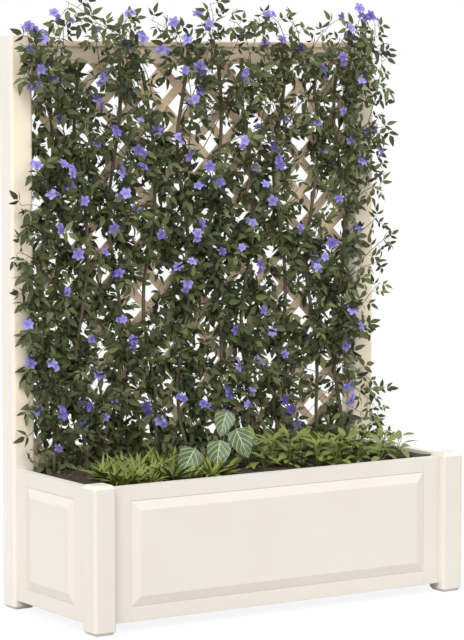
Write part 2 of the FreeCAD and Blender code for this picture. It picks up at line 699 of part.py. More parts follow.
group("lattice_rising_slats", lattice_slats(1, lattice_y - size("slat_thickness")))
group("lattice_falling_slats", lattice_slats(-1, lattice_y))


# Climber

def trellis_point(x_share, reach, z_share):
    """A point in front of the lattice, by shares of the trellis across and up."""
    return FreeCAD.Vector(x_share * front_span, lattice_y - reach, trellis_foot + z_share * trellis_height)


def rounded_path(points):
    """Straight runs joined by tangent arcs."""
    edges = []
    start = points[0]
    for before, corner, after in zip(points, points[1:], points[2:]):
        back, ahead = before - corner, after - corner
        trim = BEND_SHARE * min(back.Length, ahead.Length)
        back.normalize()
        ahead.normalize()
        half_turn = (math.pi - back.getAngle(ahead)) / 2
        radius = trim / math.tan(half_turn)
        middle = (back + ahead).normalize() * (radius / math.cos(half_turn) - radius)
        entry, leave = corner + back * trim, corner + ahead * trim
        edges.append(Part.LineSegment(start, entry).toShape())
        edges.append(Part.Arc(entry, corner + middle, leave).toShape())
        start = leave
    edges.append(Part.LineSegment(start, points[-1]).toShape())
    return Part.Wire(edges)


def tube(points, radius):
    path = rounded_path(points)
    ring = Part.Wire(Part.makeCircle(radius, points[0], points[1] - points[0]))
    solid = path.makePipeShell([ring], True, False)
    expected = math.pi * radius ** 2 * path.Length
    if not math.isclose(solid.Volume, expected, rel_tol=VOLUME_ERROR_SHARE):
        raise ValueError(f"tube volume {solid.Volume:.0f} should be {expected:.0f}")
    return solid


def stem_route(number):
    """A stem leaves the soil upright, leans back to the lattice and wanders up it."""
    root_share, top_share = STEM_ROOT_SHARES[number], STEM_TOP_SHARES[number]
    root = trellis_point(root_share, size("root_reach"), 0)
    route = [FreeCAD.Vector(root.x, root.y, soil_top + clearance), root]
    for step in range(STEM_RUN_COUNT + 1):
        z_share = STEM_START_SHARE + (top_share - STEM_START_SHARE) * step / STEM_RUN_COUNT
        wave = 2 * math.pi * (STEM_WAVES_SHARE * z_share + STEM_PHASE_SHARE * number)
        reach = size("stem_reach") + size("stem_weave") * math.cos(2 * wave)
        point = trellis_point(root_share, reach, z_share)
        route.append(point + FreeCAD.Vector(size("stem_wander") * math.sin(wave), 0, 0))
    return route


class Twig:
    """A straight tapered shoot, or a straight stretch of a stem, that leaves grow on."""

    def __init__(self, start, end, start_radius, end_radius):
        self.start, self.end = start, end
        self.start_radius, self.end_radius = start_radius, end_radius
        self.axis = (end - start).normalize()

    def at(self, share):
        return self.start + (self.end - self.start) * share

    def radius(self, share):
        return self.start_radius + (self.end_radius - self.start_radius) * share

    def points(self):
        return [self.at(step / TWIG_POINT_COUNT) for step in range(TWIG_POINT_COUNT + 1)]

    def solid(self):
        return Part.makeCone(self.start_radius, self.end_radius, (self.end - self.start).Length,
                             self.start, self.axis)


def stem_runs(routes):
    """The straight middles of the runs of every stem that lie along the lattice."""
    radius = size("stem_radius")
    return [
        Twig(start, end, radius, radius)
        for route in routes for start, end in zip(route[2:], route[3:])
    ]


def shoot_from(run, share, tip):
    """A shoot to a tip from a place on a stem's run, or none where it would lie along the stem."""
    direction = (tip - run.at(share)).normalize()
    slope = direction.dot(run.axis)
    if abs(slope) > SHOOT_SLOPE_SHARE:
        return None
    reach = size("stem_radius") + clearance + size("shoot_radius") * abs(slope)
    foot = run.at(share) + direction * (reach / math.sqrt(1 - slope ** 2))
    return Twig(foot, tip, size("shoot_radius"), size("shoot_tip_radius"))


def clearness_share(shoot, tips, wood):
    """How clear a shoot's path is of other tips, and of stems and shoots. A clear one has 1."""
    tip_need = size("flower_radius") + size("shoot_radius")
    wood_need = size("stem_radius") + 2 * size("shoot_radius")
    points = shoot.points()
    inner = [point for point in points if point.distanceToPoint(shoot.end) > tip_need]
    outer = [point for point in points if point.distanceToPoint(shoot.start) > wood_need]
    return min(1, tips.gap(inner) / tip_need, wood.gap(outer) / wood_need)


def shoot_to(tip, starts, tips, wood):
    """A shoot to a tip from one of the nearest places on the stems, by the clearest path."""
    drop = FreeCAD.Vector(0, 0, size("shoot_drop"))
    starts.sort(key=lambda start: (start[0].at(start[1]) + drop).distanceToPoint(tip))
    shoots = [(start, shoot_from(*start, tip)) for start in starts]
    found = {}
    for start, shoot in [(start, shoot) for start, shoot in shoots if shoot][:START_TRY_COUNT]:
        found.setdefault(clearness_share(shoot, tips, wood), (start, shoot))
    start, shoot = found[max(found)]
    starts.remove(start)
    wood.take(shoot.points())
    return shoot


# Room for leaves and flowers

bed_front = -inner_y + size("front_bare_strip")
bed_back = lattice_y - size("root_reach") - size("stem_bare_strip")


def blocked(point, margin):
    """Whether a point is within a margin of the soil, the liner or the trellis frame."""
    across = abs(point.x)
    if point.y > lattice_y - size("trellis_cap_thickness") / 2 - margin:
        return True
    if across > front_span / 2 - margin and point.z < size("rear_post_height") + margin:
        if point.y > size("planter_depth") / 2 - size("post_size") - margin:
            return True
    if point.z > size("wall_top") + margin:
        return False
    return (point.z < soil_top or across > front_span / 2 - margin
            or point.y < soil_gap - inner_y + margin)


class Room:
    """Points that the planting has taken, kept by cubes so that near ones are found fast."""

    def __init__(self, reach):
        self.reach = reach
        self.cubes = {}

    def cube(self, point):
        return tuple(math.floor(value / self.reach) for value in point)

    def take(self, points):
        for point in points:
            self.cubes.setdefault(self.cube(point), []).append(point)

    def gap(self, points):
        """The least distance to a taken point, up to the reach."""
        least = self.reach
        for point in points:
            x, y, z = self.cube(point)
            near = [(x + i, y + j, z + k) for i in (-1, 0, 1) for j in (-1, 0, 1) for k in (-1, 0, 1)]
            for cube in near:
                for other in self.cubes.get(cube, ()):
                    least = min(least, point.distanceToPoint(other))
        return least


class Leaf:
    """A flat leaf drawn along +X and facing +Z, with points along its ribs."""

    def __init__(self, solid, ribs, width):
        self.solid, self.width = solid, width
        self.points = []
        for start, end in ribs:
            count = math.ceil(2 * (end - start).Length / width)
            self.points += [start + (end - start) * (step / count) for step in range(1, count + 1)]

    def grow(self, room, placements):
        """A copy at the placement with the most room, or none where there is too little."""
        found = {}
        for placement in placements:
            points = [placement.multVec(point) for point in self.points]
            if not any(blocked(point, self.width / 2) for point in points):
                found[room.gap(points)] = (placement, points)
        if not found or max(found) < LEAF_ROOM_SHARE * self.width:
            return []
        placement, points = found[max(found)]
        room.take(points)
        copy = self.solid.copy()
        copy.Placement = placement
        return [copy]


def seating(seat, along, facing):
    """The placement of a flat shape, drawn along +X and facing +Z, on its seat."""
    x_axis = FreeCAD.Vector(along).normalize()
    z_axis = (facing - x_axis * facing.dot(x_axis)).normalize()
    y_axis = z_axis.cross(x_axis)
    return FreeCAD.Placement(FreeCAD.Matrix(
        x_axis.x, y_axis.x, z_axis.x, seat.x,
        x_axis.y, y_axis.y, z_axis.y, seat.y,
        x_axis.z, y_axis.z, z_axis.z, seat.z,
        0, 0, 0, 1))


def turns_from(first, span):
    """Angles to try, from a first one on over a span, in radians."""
    return [first + span * step / TURN_TRY_COUNT for step in range(TURN_TRY_COUNT)]


# Leaf and flower shapes

def blade_arcs(base, tip, width, right, left):
    """Two arcs of a pointed blade, from the right of its base round its tip to the left."""
    middle = (base + tip) / 2
    across = FreeCAD.Vector(0, 0, 1).cross((tip - base).normalize()) * (width / 2)
    return [Part.Arc(right, middle - across, tip), Part.Arc(tip, middle + across, left)]


def flat_solid(curves, thickness):
    outline = Part.Wire([curve.toShape() for curve in curves])
    return Part.Face(outline).extrude(FreeCAD.Vector(0, 0, thickness))


def climber_leaf():
    """Three pointed leaflets on one stalk."""
    stalk, half_stalk = size("leaf_stalk"), size("leaf_stalk_width") / 2
    length, width = size("leaflet_length"), size("leaflet_width")
    fork = stalk + size("leaf_stalk_width")
    right_base, left_base = FreeCAD.Vector(stalk, -half_stalk, 0), FreeCAD.Vector(stalk, half_stalk, 0)
    right_fork, left_fork = FreeCAD.Vector(fork, -half_stalk, 0), FreeCAD.Vector(fork, half_stalk, 0)
    foot_right, foot_left = FreeCAD.Vector(0, -half_stalk, 0), FreeCAD.Vector(0, half_stalk, 0)
    side_base, tip_base = FreeCAD.Vector((stalk + fork) / 2, 0, 0), FreeCAD.Vector(fork, 0, 0)
    across, ahead = FreeCAD.Vector(0, length, 0), FreeCAD.Vector(length, 0, 0)
    curves = [Part.LineSegment(foot_right, right_base)]
    curves += blade_arcs(side_base, side_base - across, width, right_base, right_fork)
    curves += blade_arcs(tip_base, tip_base + ahead, width, right_fork, left_fork)
    curves += blade_arcs(side_base, side_base + across, width, left_fork, left_base)
    curves.append(Part.LineSegment(left_base, foot_left))
    curves.append(Part.LineSegment(foot_left, foot_right))
    ribs = [(side_base, side_base - across), (tip_base, tip_base + ahead), (side_base, side_base + across)]
    return Leaf(flat_solid(curves, size("leaf_thickness")), ribs, width)


def pointed_leaf(length, width, stalk_width):
    """One pointed blade that narrows to the width of its stalk."""
    base, tip = FreeCAD.Vector(), FreeCAD.Vector(length, 0, 0)
    right, left = FreeCAD.Vector(0, -stalk_width / 2, 0), FreeCAD.Vector(0, stalk_width / 2, 0)
    curves = blade_arcs(base, tip, width, right, left)
    curves.append(Part.LineSegment(left, right))
    solid = flat_solid(curves, size("leaf_thickness"))
    across = FreeCAD.Vector(0, width / 2, 0)
    ribs = [((base + tip) * FREE_RIB_SHARE, tip), ((base + tip) / 2 - across, (base + tip) / 2 + across)]
    return Leaf(solid, ribs, width)


def polar(radius, angle):
    return FreeCAD.Vector(radius * math.cos(angle), radius * math.sin(angle), 0)


def climber_flower():
    """A flat star of broad petals round a raised eye, facing +Z."""
    radius, eye = size("flower_radius"), size("flower_eye_radius")
    sector = 2 * math.pi / PETAL_COUNT
    half = sector / 2 * PETAL_FILL_SHARE
    base = half * PETAL_BASE_SHARE
    shoulder = radius * PETAL_SHOULDER_SHARE
    curves = []
    for number in range(PETAL_COUNT):
        angle = number * sector
        start, end = polar(eye, angle - base), polar(eye, angle + base)
        curves.append(Part.Arc(start, polar(shoulder, angle - half), polar(radius, angle)))
        curves.append(Part.Arc(polar(radius, angle), polar(shoulder, angle + half), end))
        curves.append(Part.LineSegment(end, polar(eye, angle + sector - base)))
    star = flat_solid(curves, size("petal_thickness"))
    centre = Part.makeCylinder(eye, size("flower_eye_height"), FreeCAD.Vector())
    return star.fuse(centre).removeSplitter().Solids[0]


# The climber's growth

def tip_point(x_share, z_share, tips):
    """A shoot's tip, as far forward as leaves it the most room among the other tips."""
    choices = [
        trellis_point(x_share, size("shoot_reach") + share * size("shoot_reach_spread"), z_share)
        for share in REACH_TRY_SHARES
    ]
    best = max(choices, key=lambda choice: tips.gap([choice]))
    tips.take([best])
    return best


def flower_on(flower, twig, number):
    lean = LEAF_TILT_SHARE * math.sin(math.radians(LEAF_TURN * number))
    facing = FreeCAD.Vector(*FLOWER_FACING_SHARES) + FreeCAD.Vector(lean, 0, lean)
    facing = (facing + twig.axis * FLOWER_ALONG_SHARE).normalize()
    tilt = math.sqrt(max(0, 1 - facing.dot(twig.axis) ** 2))
    seat = twig.end + facing * (twig.end_radius * tilt + clearance)
    up = FreeCAD.Vector(0, 0, 1)
    copy = flower.copy()
    copy.Placement = seating(seat, up - facing * up.dot(facing), facing)
    return copy


def leaf_seatings(twig, share, number):
    """Places for a leaf round a twig, growing forwards and drooping."""
    for turn in turns_from(math.radians(LEAF_TURN * number), 2 * math.pi):
        aim = FreeCAD.Vector(math.cos(turn), -LEAF_FORWARD_SHARE, math.sin(turn) - LEAF_DROOP_SHARE)
        outward = aim - twig.axis * aim.dot(twig.axis)
        if outward.Length > LEAF_FORWARD_SHARE * aim.Length:
            seat = twig.at(share) + outward.normalize() * (twig.radius(share) + clearance)
            tilt = LEAF_TILT_SHARE * math.sin(turn)
            yield seating(seat, aim, FreeCAD.Vector(tilt, -1, LEAF_TILT_SHARE + LEAF_DROOP_SHARE))


def climber():
    routes = [stem_route(number) for number in range(len(STEM_ROOT_SHARES))]
    runs = stem_runs(routes)
    group("climber_stems", [tube(route, size("stem_radius")) for route in routes])

    starts = [(run, share) for run in runs for share in SHOOT_START_SHARES]
    tips = Room(2 * size("flower_radius") + size("shoot_reach_spread"))
    wood = Room(size("flower_radius"))
    for run in runs:
        wood.take(run.points())
    flower_tips = [tip_point(x, z, tips) for x, z in FLOWER_SHARES]
    leafy_tips = [tip_point(x, z, tips) for x, z in LEAFY_TIP_SHARES]
    flowering = [shoot_to(tip, starts, tips, wood) for tip in flower_tips]
    leafy = [shoot_to(tip, starts, tips, wood) for tip in leafy_tips]
    group("climber_shoots", [twig.solid() for twig in flowering + leafy])
    flower = climber_flower()
    flowers = [flower_on(flower, twig, number) for number, twig in enumerate(flowering)]
    group("climber_flowers", flowers)

    places = [(twig, share) for twig in flowering for share in SHOOT_LEAF_SHARES]
    places += [(twig, share) for twig in leafy for share in TIP_LEAF_SHARES]
    places += [(twig, share) for twig in runs for share in RUN_LEAF_SHARES]
    room = Room(size("leaflet_length"))
    for twig in flowering + leafy + runs:
        room.take(twig.points())
    petal_reach = size("flower_radius") * PETAL_SHOULDER_SHARE
    for bloom in flowers:
        room.take([
            bloom.Placement.multVec(polar(petal_reach, 2 * math.pi * number / PETAL_COUNT))
            for number in range(PETAL_COUNT)
        ])
    leaf = climber_leaf()
    leaves = []
    for number, (twig, share) in enumerate(places):
        leaves += leaf.grow(room, leaf_seatings(twig, share, number))
    middle = trellis_foot + trellis_height / 2
    group("climber_lower_leaves", [solid for solid in leaves if solid.CenterOfGravity.z < middle])
    group("climber_upper_leaves", [solid for solid in leaves if solid.CenterOfGravity.z >= middle])


climber()


# Low planting, rooted in the soil in front of the climber

low_room = Room(size("veined_leaf_width"))


def patch(first_share, last_share, spacing):
    """Places on the soil, in staggered rows between two shares of the trough's length."""
    first, last = first_share * front_span, last_share * front_span
    columns = max(1, round((last - first) / spacing))
    rows = max(1, round((bed_back - bed_front) / spacing))
    for row in range(rows):
        y = bed_front + (2 * row + 1) / 2 * (bed_back - bed_front) / rows
        stagger = ROW_STAGGER_SHARES[row % len(ROW_STAGGER_SHARES)]
        for column in range(columns):
            yield FreeCAD.Vector(first + (column + stagger) * (last - first) / columns, y, soil_top)


def rosette(leaf, places, foot_radius, count, rises):
    """Leaves round each place, each rooted in the soil and leaning outwards."""
    leaves = []
    up = FreeCAD.Vector(0, 0, 1)
    for number, centre in enumerate(places):
        for step in range(count):
            first = 2 * math.pi * step / count + math.radians(LEAF_TURN * number)
            rise = rises[(step + number) % len(rises)] * math.pi / 2
            seatings = [
                seating(centre + polar(foot_radius, turn) + up * clearance,
                        polar(math.cos(rise), turn) + up * math.sin(rise),
                        up * math.cos(rise) - polar(math.sin(rise), turn))
                for turn in turns_from(first, 2 * math.pi / count)
            ]
            leaves += leaf.grow(low_room, seatings)
    return leaves


def veined_plant():
    """Broad leaves, each on the tip of its own leaning stalk."""
    x_share, y_share = VEINED_PLACE_SHARES
    centre = FreeCAD.Vector(x_share * front_span, y_share * end_span, soil_top)
    leaf = pointed_leaf(size("veined_leaf_length"), size("veined_leaf_width"), size("leaf_stalk_width"))
    foot_radius, tip_radius = size("veined_stalk_radius"), size("veined_stalk_tip_radius")
    up = FreeCAD.Vector(0, 0, 1)
    low, high = VEINED_LEAN_SHARES
    stalks, leaves = [], []
    for number in range(VEINED_LEAF_COUNT):
        outer = number / VEINED_LEAF_COUNT
        lean = (low + (high - low) * outer) * math.pi / 2
        droop = lean * VEINED_DROOP_SHARE
        for turn in turns_from(math.radians(LEAF_TURN * number), 2 * math.pi):
            lift = up * (foot_radius * math.sin(lean) + clearance)
            foot = centre + polar(size("veined_foot_radius") * (1 + outer), turn) + lift
            axis = polar(math.sin(lean), turn) + up * math.cos(lean)
            tip = foot + axis * size("veined_stalk_height")
            facing = polar(math.sin(droop), turn) + up * math.cos(droop)
            seat = tip + facing * (tip_radius * math.sin(lean - droop) + clearance)
            along = polar(math.cos(droop), turn) - up * math.sin(droop)
            grown = leaf.grow(low_room, [seating(seat, along, facing)])
            if grown:
                stalks.append(Twig(foot, tip, foot_radius, tip_radius).solid())
                leaves += grown
                break
    group("veined_stalks", stalks)
    group("veined_leaves", leaves)


veined_plant()
tuft_blade = pointed_leaf(size("tuft_blade_length"), size("tuft_blade_width"), size("leaf_stalk_width"))
cover_leaf = pointed_leaf(size("cover_leaf_length"), size("cover_leaf_width"), size("leaf_stalk_width"))
group("tuft_leaves", rosette(tuft_blade, patch(*TUFT_PATCH_SHARES, size("tuft_spacing")),
                             size("tuft_foot_radius"), TUFT_BLADE_COUNT, TUFT_RISE_SHARES))
group("groundcover_leaves", rosette(cover_leaf, patch(*COVER_PATCH_SHARES, size("cover_spacing")),
                                    size("cover_foot_radius"), COVER_LEAF_COUNT, COVER_RISE_SHARES))


# Test every object and write each sub-part to its own file

document.recompute()
failed = [item.Name for item in document.Objects if {"Invalid", "Error"} & set(item.State)]
if failed:
    raise ValueError(f"failed objects: {failed}")
for piece in pieces:
    if piece.Shape.isNull() or not piece.Shape.isValid():
        raise ValueError(f"{piece.Label} has no valid shape")
os.makedirs("parts", exist_ok=True)
for piece in pieces:
    piece.Shape.exportStep(f"parts/{piece.Label}.step")
print(f"{len(pieces)} sub-parts, {sum(len(piece.Shape.Solids) for piece in pieces)} solids")
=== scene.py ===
import bmesh
import bpy
import math
import numpy
import random
from mathutils import Matrix, Vector


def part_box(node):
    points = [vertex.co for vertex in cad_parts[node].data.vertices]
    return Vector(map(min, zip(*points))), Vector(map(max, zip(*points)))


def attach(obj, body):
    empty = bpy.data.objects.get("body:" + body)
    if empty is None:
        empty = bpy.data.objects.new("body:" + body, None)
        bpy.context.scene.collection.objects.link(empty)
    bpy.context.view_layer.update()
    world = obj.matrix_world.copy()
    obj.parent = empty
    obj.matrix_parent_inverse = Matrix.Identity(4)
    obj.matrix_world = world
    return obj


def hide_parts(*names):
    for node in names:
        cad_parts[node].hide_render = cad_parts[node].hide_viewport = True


# Looks of a painted trough planter with a lattice trellis, a flowering climber and low plants.
# Metres, in the frame of the solids: +X along the trough, -Y to the front, +Z up.

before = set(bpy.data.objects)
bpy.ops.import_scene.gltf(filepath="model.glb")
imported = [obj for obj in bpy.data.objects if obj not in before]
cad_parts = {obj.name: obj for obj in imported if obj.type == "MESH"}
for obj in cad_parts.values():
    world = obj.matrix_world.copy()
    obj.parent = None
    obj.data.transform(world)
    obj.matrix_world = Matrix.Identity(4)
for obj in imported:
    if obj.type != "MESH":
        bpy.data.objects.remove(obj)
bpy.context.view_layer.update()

# Colours, as linear red, green and blue
CREAM = (0.80, 0.755, 0.69)
CREAM_SHADE = (0.765, 0.715, 0.645)
# A lighter cream on the tall posts: painted light that makes up for the shade of the foliage
TALL_CREAM_PAINTED_LIGHT = (0.86, 0.815, 0.755)
# Painted warm shade of the foliage, on the fronts of the tall posts above the trough
PAINTED_FOLIAGE_SHADE = (0.98, 0.86, 0.69)
FOOT_DUST = (0.42, 0.36, 0.28)
# Lattice: warm beige to brown, partly its own tone and partly painted foliage shade
LATTICE_BEIGE_AND_SHADE = (0.92, 0.77, 0.57)
LATTICE_BROWN_AND_SHADE = (0.74, 0.56, 0.37)
# Trellis rails: warm tan, painted foliage shade over the cream paint
RAIL_PAINTED_SHADE_PALE = (0.84, 0.71, 0.55)
RAIL_PAINTED_SHADE_DEEP = (0.74, 0.59, 0.42)
RAW_PINE = (0.55, 0.36, 0.19)
RAW_PINE_RING = (0.36, 0.21, 0.10)
SCREW_GREY = (0.55, 0.54, 0.52)
SCREW_DULL = (0.4, 0.4, 0.39)
LINER_BLACK = (0.012, 0.012, 0.013)
LINER_WORN = (0.03, 0.03, 0.03)
SOIL_DARK = (0.018, 0.012, 0.008)
SOIL_LIGHT = (0.085, 0.056, 0.036)
BARK_BROWN = (0.15, 0.11, 0.07)
BARK_GREEN = (0.10, 0.10, 0.04)
BARK_CREVICE = (0.05, 0.04, 0.025)
LEAF_DARK = (0.019, 0.028, 0.008)
LEAF_MID = (0.063, 0.080, 0.020)
LEAF_LIGHT = (0.145, 0.168, 0.058)
PETAL_DEEP = (0.115, 0.09, 0.38)
PETAL_PALE = (0.33, 0.295, 0.68)
PETAL_EYE = (0.10, 0.05, 0.36)
PETAL_BAR = (0.38, 0.30, 0.76)
TUFT_DARK = (0.014, 0.030, 0.003)
TUFT_LIGHT = (0.20, 0.246, 0.0465)
TUFT_RIB = (0.52, 0.56, 0.22)
VEINED_GREEN = (0.030, 0.070, 0.020)
VEINED_WHITE = (0.46, 0.54, 0.36)
COVER_DARK = (0.016, 0.036, 0.005)
COVER_LIGHT = (0.18, 0.222, 0.048)
COVER_RIB = (0.36, 0.42, 0.15)
WHITE = (1.0, 1.0, 1.0)


# Node trees

class Wire:
    """An output socket. Arithmetic on it adds Math nodes to its tree."""

    def __init__(self, nodes, socket):
        self.nodes, self.socket = nodes, socket

    def math(self, operation, first, second=0):
        return self.nodes.add("ShaderNodeMath", {"operation": operation}, {0: first, 1: second})

    __add__ = lambda self, other: self.math("ADD", self, other)
    __radd__ = lambda self, other: self.math("ADD", other, self)
    __sub__ = lambda self, other: self.math("SUBTRACT", self, other)
    __rsub__ = lambda self, other: self.math("SUBTRACT", other, self)
    __mul__ = lambda self, other: self.math("MULTIPLY", self, other)
    __lt__ = lambda self, other: self.math("LESS_THAN", self, other)
    __gt__ = lambda self, other: self.math("GREATER_THAN", self, other)
    __abs__ = lambda self: self.math("ABSOLUTE", self)
    fraction = lambda self: self.math("FRACT", self)
    least = lambda self, other: self.math("MINIMUM", self, other)
    most = lambda self, other: self.math("MAXIMUM", self, other)


class Nodes:
    """A node tree that short calls fill."""

    def __init__(self, tree):
        self.tree = tree

    def socket(self, sockets, key):
        """A socket by its number, its identifier or its name."""
        if isinstance(key, int):
            return sockets[key]
        for socket in sockets:
            if socket.identifier == key:
                return socket
        return sockets[key]

    def feed(self, socket, value):
        if isinstance(value, Wire):
            self.tree.links.new(value.socket, socket)
        else:
            socket.default_value = (*value, 1.0) if socket.type == "RGBA" else value

    def add(self, kind, settings=(), inputs=(), output=None):
        """A node of a kind, with its settings made first, then its inputs. Gives one output."""
        node = self.tree.nodes.new(kind)
        for name, value in dict(settings).items():
            setattr(node, name, value)
        for key, value in dict(inputs).items():
            for item in value if isinstance(value, list) else [value]:
                self.feed(self.socket(node.inputs, key), item)
        if not node.outputs:
            return node
        if output is None:
            output = next(index for index, socket in enumerate(node.outputs) if socket.enabled)
        return Wire(self, self.socket(node.outputs, output))

    def other(self, wire, output):
        """Another output of the node that a wire comes from."""
        return Wire(self, self.socket(wire.socket.node.outputs, output))


class Finish(Nodes):
    """A material with one principled shader."""

    def __init__(self, name):
        self.material = bpy.data.materials.new(name)
        self.material.use_nodes = True
        super().__init__(self.material.node_tree)
        self.tree.nodes.clear()
        self.shader = self.tree.nodes.new("ShaderNodeBsdfPrincipled")
        self.light = Wire(self, self.shader.outputs[0])
        self.output = self.add("ShaderNodeOutputMaterial", (), {"Surface": self.light})

    def set(self, **values):
        for name, value in values.items():
            self.feed(self.shader.inputs[name.replace("_", " ")], value)
        return self.material

    def place(self, stretch=(1, 1, 1)):
        """Object coordinates, stretched along their axes."""
        coords = self.add("ShaderNodeTexCoord", (), (), "Object")
        return self.add("ShaderNodeMapping", (), {"Vector": coords, "Scale": stretch})

    def axis(self, name):
        """One of the object coordinates."""
        return self.add("ShaderNodeSeparateXYZ", (), {0: self.place()}, name)

    def noise(self, scale, stretch=(1, 1, 1), detail=3.0, roughness=0.5):
        return self.add("ShaderNodeTexNoise", (), {
            "Vector": self.place(stretch), "Scale": scale, "Detail": detail, "Roughness": roughness})

    def mix(self, share, first, second):
        return self.add("ShaderNodeMix", {"data_type": "RGBA"}, {
            "Factor_Float": share, "A_Color": first, "B_Color": second}, "Result_Color")

    def soften(self, value, low, high):
        """0 below one value and 1 above another, smooth between them."""
        return self.add("ShaderNodeMapRange", {"interpolation_type": "SMOOTHSTEP"}, {
            "Value": value, "From Min": low, "From Max": high})

    def bump(self, height, distance, strength=1.0, normal=None):
        inputs = {"Height": height, "Distance": distance, "Strength": strength}
        if normal:
            inputs["Normal"] = normal
        return self.add("ShaderNodeBump", (), inputs)

    def eased_edges(self):
        return self.add("ShaderNodeBevel", {"samples": 6}, {"Radius": EDGE_RADIUS})


# Finishes of the timber, the filling and the fasteners

GRAIN_ALONG = {"x": (0.06, 1, 1), "y": (1, 0.06, 1), "z": (1, 1, 0.06)}
EDGE_RADIUS = 0.0016
DUST_HEIGHT = 0.075
DUST_SHARE = 0.05
# Depths between which the painted warm foliage shade on the front of a tall post ends, and heights between
# which it begins
FOLIAGE_SHADE_DEPTHS = (0.001, 0.004)
FOLIAGE_SHADE_HEIGHTS = (0.30, 0.45)


def brushed_paint(name, light, shade, grain, front=None):
    """Satin paint with faint brush marks along the grain, dusty feet and, if asked, painted warm foliage
    shade on its front.
    """
    finish = Finish(name)
    cloud = finish.noise(5.0, detail=4.0)
    marks = finish.noise(260.0, GRAIN_ALONG[grain], detail=4.0, roughness=0.65)
    height = finish.axis("Z")
    dust = (1 - finish.soften(height, 0.0, DUST_HEIGHT)) * finish.soften(finish.noise(38.0), 0.35, 0.75)
    tone = cloud * 0.6 + marks * 0.4
    colour = finish.mix(finish.soften(tone, 0.2, 0.8), shade, light)
    colour = finish.mix(dust * DUST_SHARE, colour, FOOT_DUST)
    if front is not None:
        # Painted warm foliage shade on the front faces, above the trough
        near, far = FOLIAGE_SHADE_DEPTHS
        faced = 1 - finish.soften(finish.axis("Y"), front + near, front + far)
        colour = finish.mix(faced * finish.soften(height, *FOLIAGE_SHADE_HEIGHTS), colour, PAINTED_FOLIAGE_SHADE)
    return finish.set(
        Base_Color=colour,
        Roughness=0.38 + marks * 0.15,
        Normal=finish.bump(marks, 0.0004, 0.2, finish.eased_edges()),
        Specular_IOR_Level=0.42)


def sawn_pine(name):
    """Bare boards with darker rings along the grain."""
    finish = Finish(name)
    warp = finish.noise(9.0, GRAIN_ALONG["y"])
    rings = (finish.axis("X") * 46.0 + warp * 5.0).fraction()
    fibre = finish.noise(420.0, GRAIN_ALONG["y"])
    colour = finish.mix(finish.soften(rings, 0.5, 1.0), RAW_PINE, RAW_PINE_RING)
    return finish.set(Base_Color=colour, Roughness=0.62 + fibre * 0.2,
                      Normal=finish.bump(fibre, 0.0006, 0.5, finish.eased_edges()))


def grainy(name, scale, first, second, roughness, depth, strength, metallic=0.0):
    """A plain finish with fine grain."""
    finish = Finish(name)
    grain = finish.noise(scale)
    return finish.set(Base_Color=finish.mix(grain, first, second), Roughness=roughness + grain * 0.2,
                      Metallic=metallic, Normal=finish.bump(grain, depth, strength))


def damp_soil(name):
    finish = Finish(name)
    clods = finish.noise(70.0, detail=8.0, roughness=0.65)
    crumbs = finish.noise(420.0, detail=4.0)
    colour = finish.mix(finish.soften(clods * 0.6 + crumbs * 0.4, 0.38, 0.66), SOIL_DARK, SOIL_LIGHT)
    return finish.set(Base_Color=colour, Roughness=0.75 + crumbs * 0.2,
                      Normal=finish.bump(clods * 0.7 + crumbs * 0.3, 0.004, 0.8))


# Finishes of the plants

LEAF_SHINE = 0.42


def stem_bark(name):
    finish = Finish(name)
    ridges = finish.noise(300.0, GRAIN_ALONG["z"], detail=5.0)
    young = finish.noise(9.0)
    colour = finish.mix(finish.soften(young, 0.4, 0.62), BARK_BROWN, BARK_GREEN)
    colour = finish.mix(ridges * 0.6, colour, BARK_CREVICE)
    return finish.set(Base_Color=colour, Roughness=0.6 + ridges * 0.25,
                      Normal=finish.bump(ridges, 0.0012, 0.7))


def blade_finish(name):
    """A finish of blades, with places along them and off their midribs, and the tone of each plant."""
    finish = Finish(name)
    along = finish.add("ShaderNodeSeparateXYZ", (), {0: finish.add("ShaderNodeUVMap", {"uv_map": "UVMap"})})
    side = abs(finish.other(along, "Y") - 0.5)
    return finish, along, side, finish.add("ShaderNodeAttribute", {"attribute_name": "tone"}, (), "Fac")


def leaf_skin(name, dark, mid, light, gloss, rib_colour, rib_strength):
    """Leaf with a tone of its own, a pale midrib and side veins."""
    finish, along, side, tone = blade_finish(name)
    midrib = 1 - finish.soften(side, 0.02, 0.06)
    veins = 1 - finish.soften(abs((along * 6.0 - side * 5.0).fraction() - 0.5), 0.03, 0.12)
    mottle = finish.noise(120.0)
    colour = finish.mix(finish.soften(tone, 0.0, 0.55), dark, mid)
    colour = finish.mix(finish.soften(tone + (mottle - 0.5) * 0.3, 0.6, 1.0), colour, light)
    colour = finish.mix((midrib * 0.8).most(veins * 0.3) * rib_strength, colour, rib_colour)
    return finish.set(Base_Color=colour, Roughness=gloss + mottle * 0.15,
                      Normal=finish.bump(midrib + veins * 0.5, 0.0006, 0.6), Specular_IOR_Level=LEAF_SHINE)


def veined_skin(name):
    """Broad leaf with white midrib and side veins that fork to the edge."""
    finish, along, side, tone = blade_finish(name)
    wander = finish.noise(60.0) * 0.10
    midrib = 1 - finish.soften(side, 0.012, 0.035)
    main = 1 - finish.soften(abs((along * 5.0 - side * 4.2 + wander).fraction() - 0.5), 0.03, 0.12)
    fine = 1 - finish.soften(abs((along * 15.0 + side * 9.0 + wander * 4).fraction() - 0.5), 0.05, 0.22)
    green = finish.mix(tone, VEINED_GREEN, COVER_LIGHT)
    colour = finish.mix(midrib.most(main * 0.85).most(fine * 0.28), green, VEINED_WHITE)
    return finish.set(Base_Color=colour, Roughness=0.38 + tone * 0.1,
                      Normal=finish.bump(midrib + main * 0.6, 0.001, 0.6), Specular_IOR_Level=LEAF_SHINE)


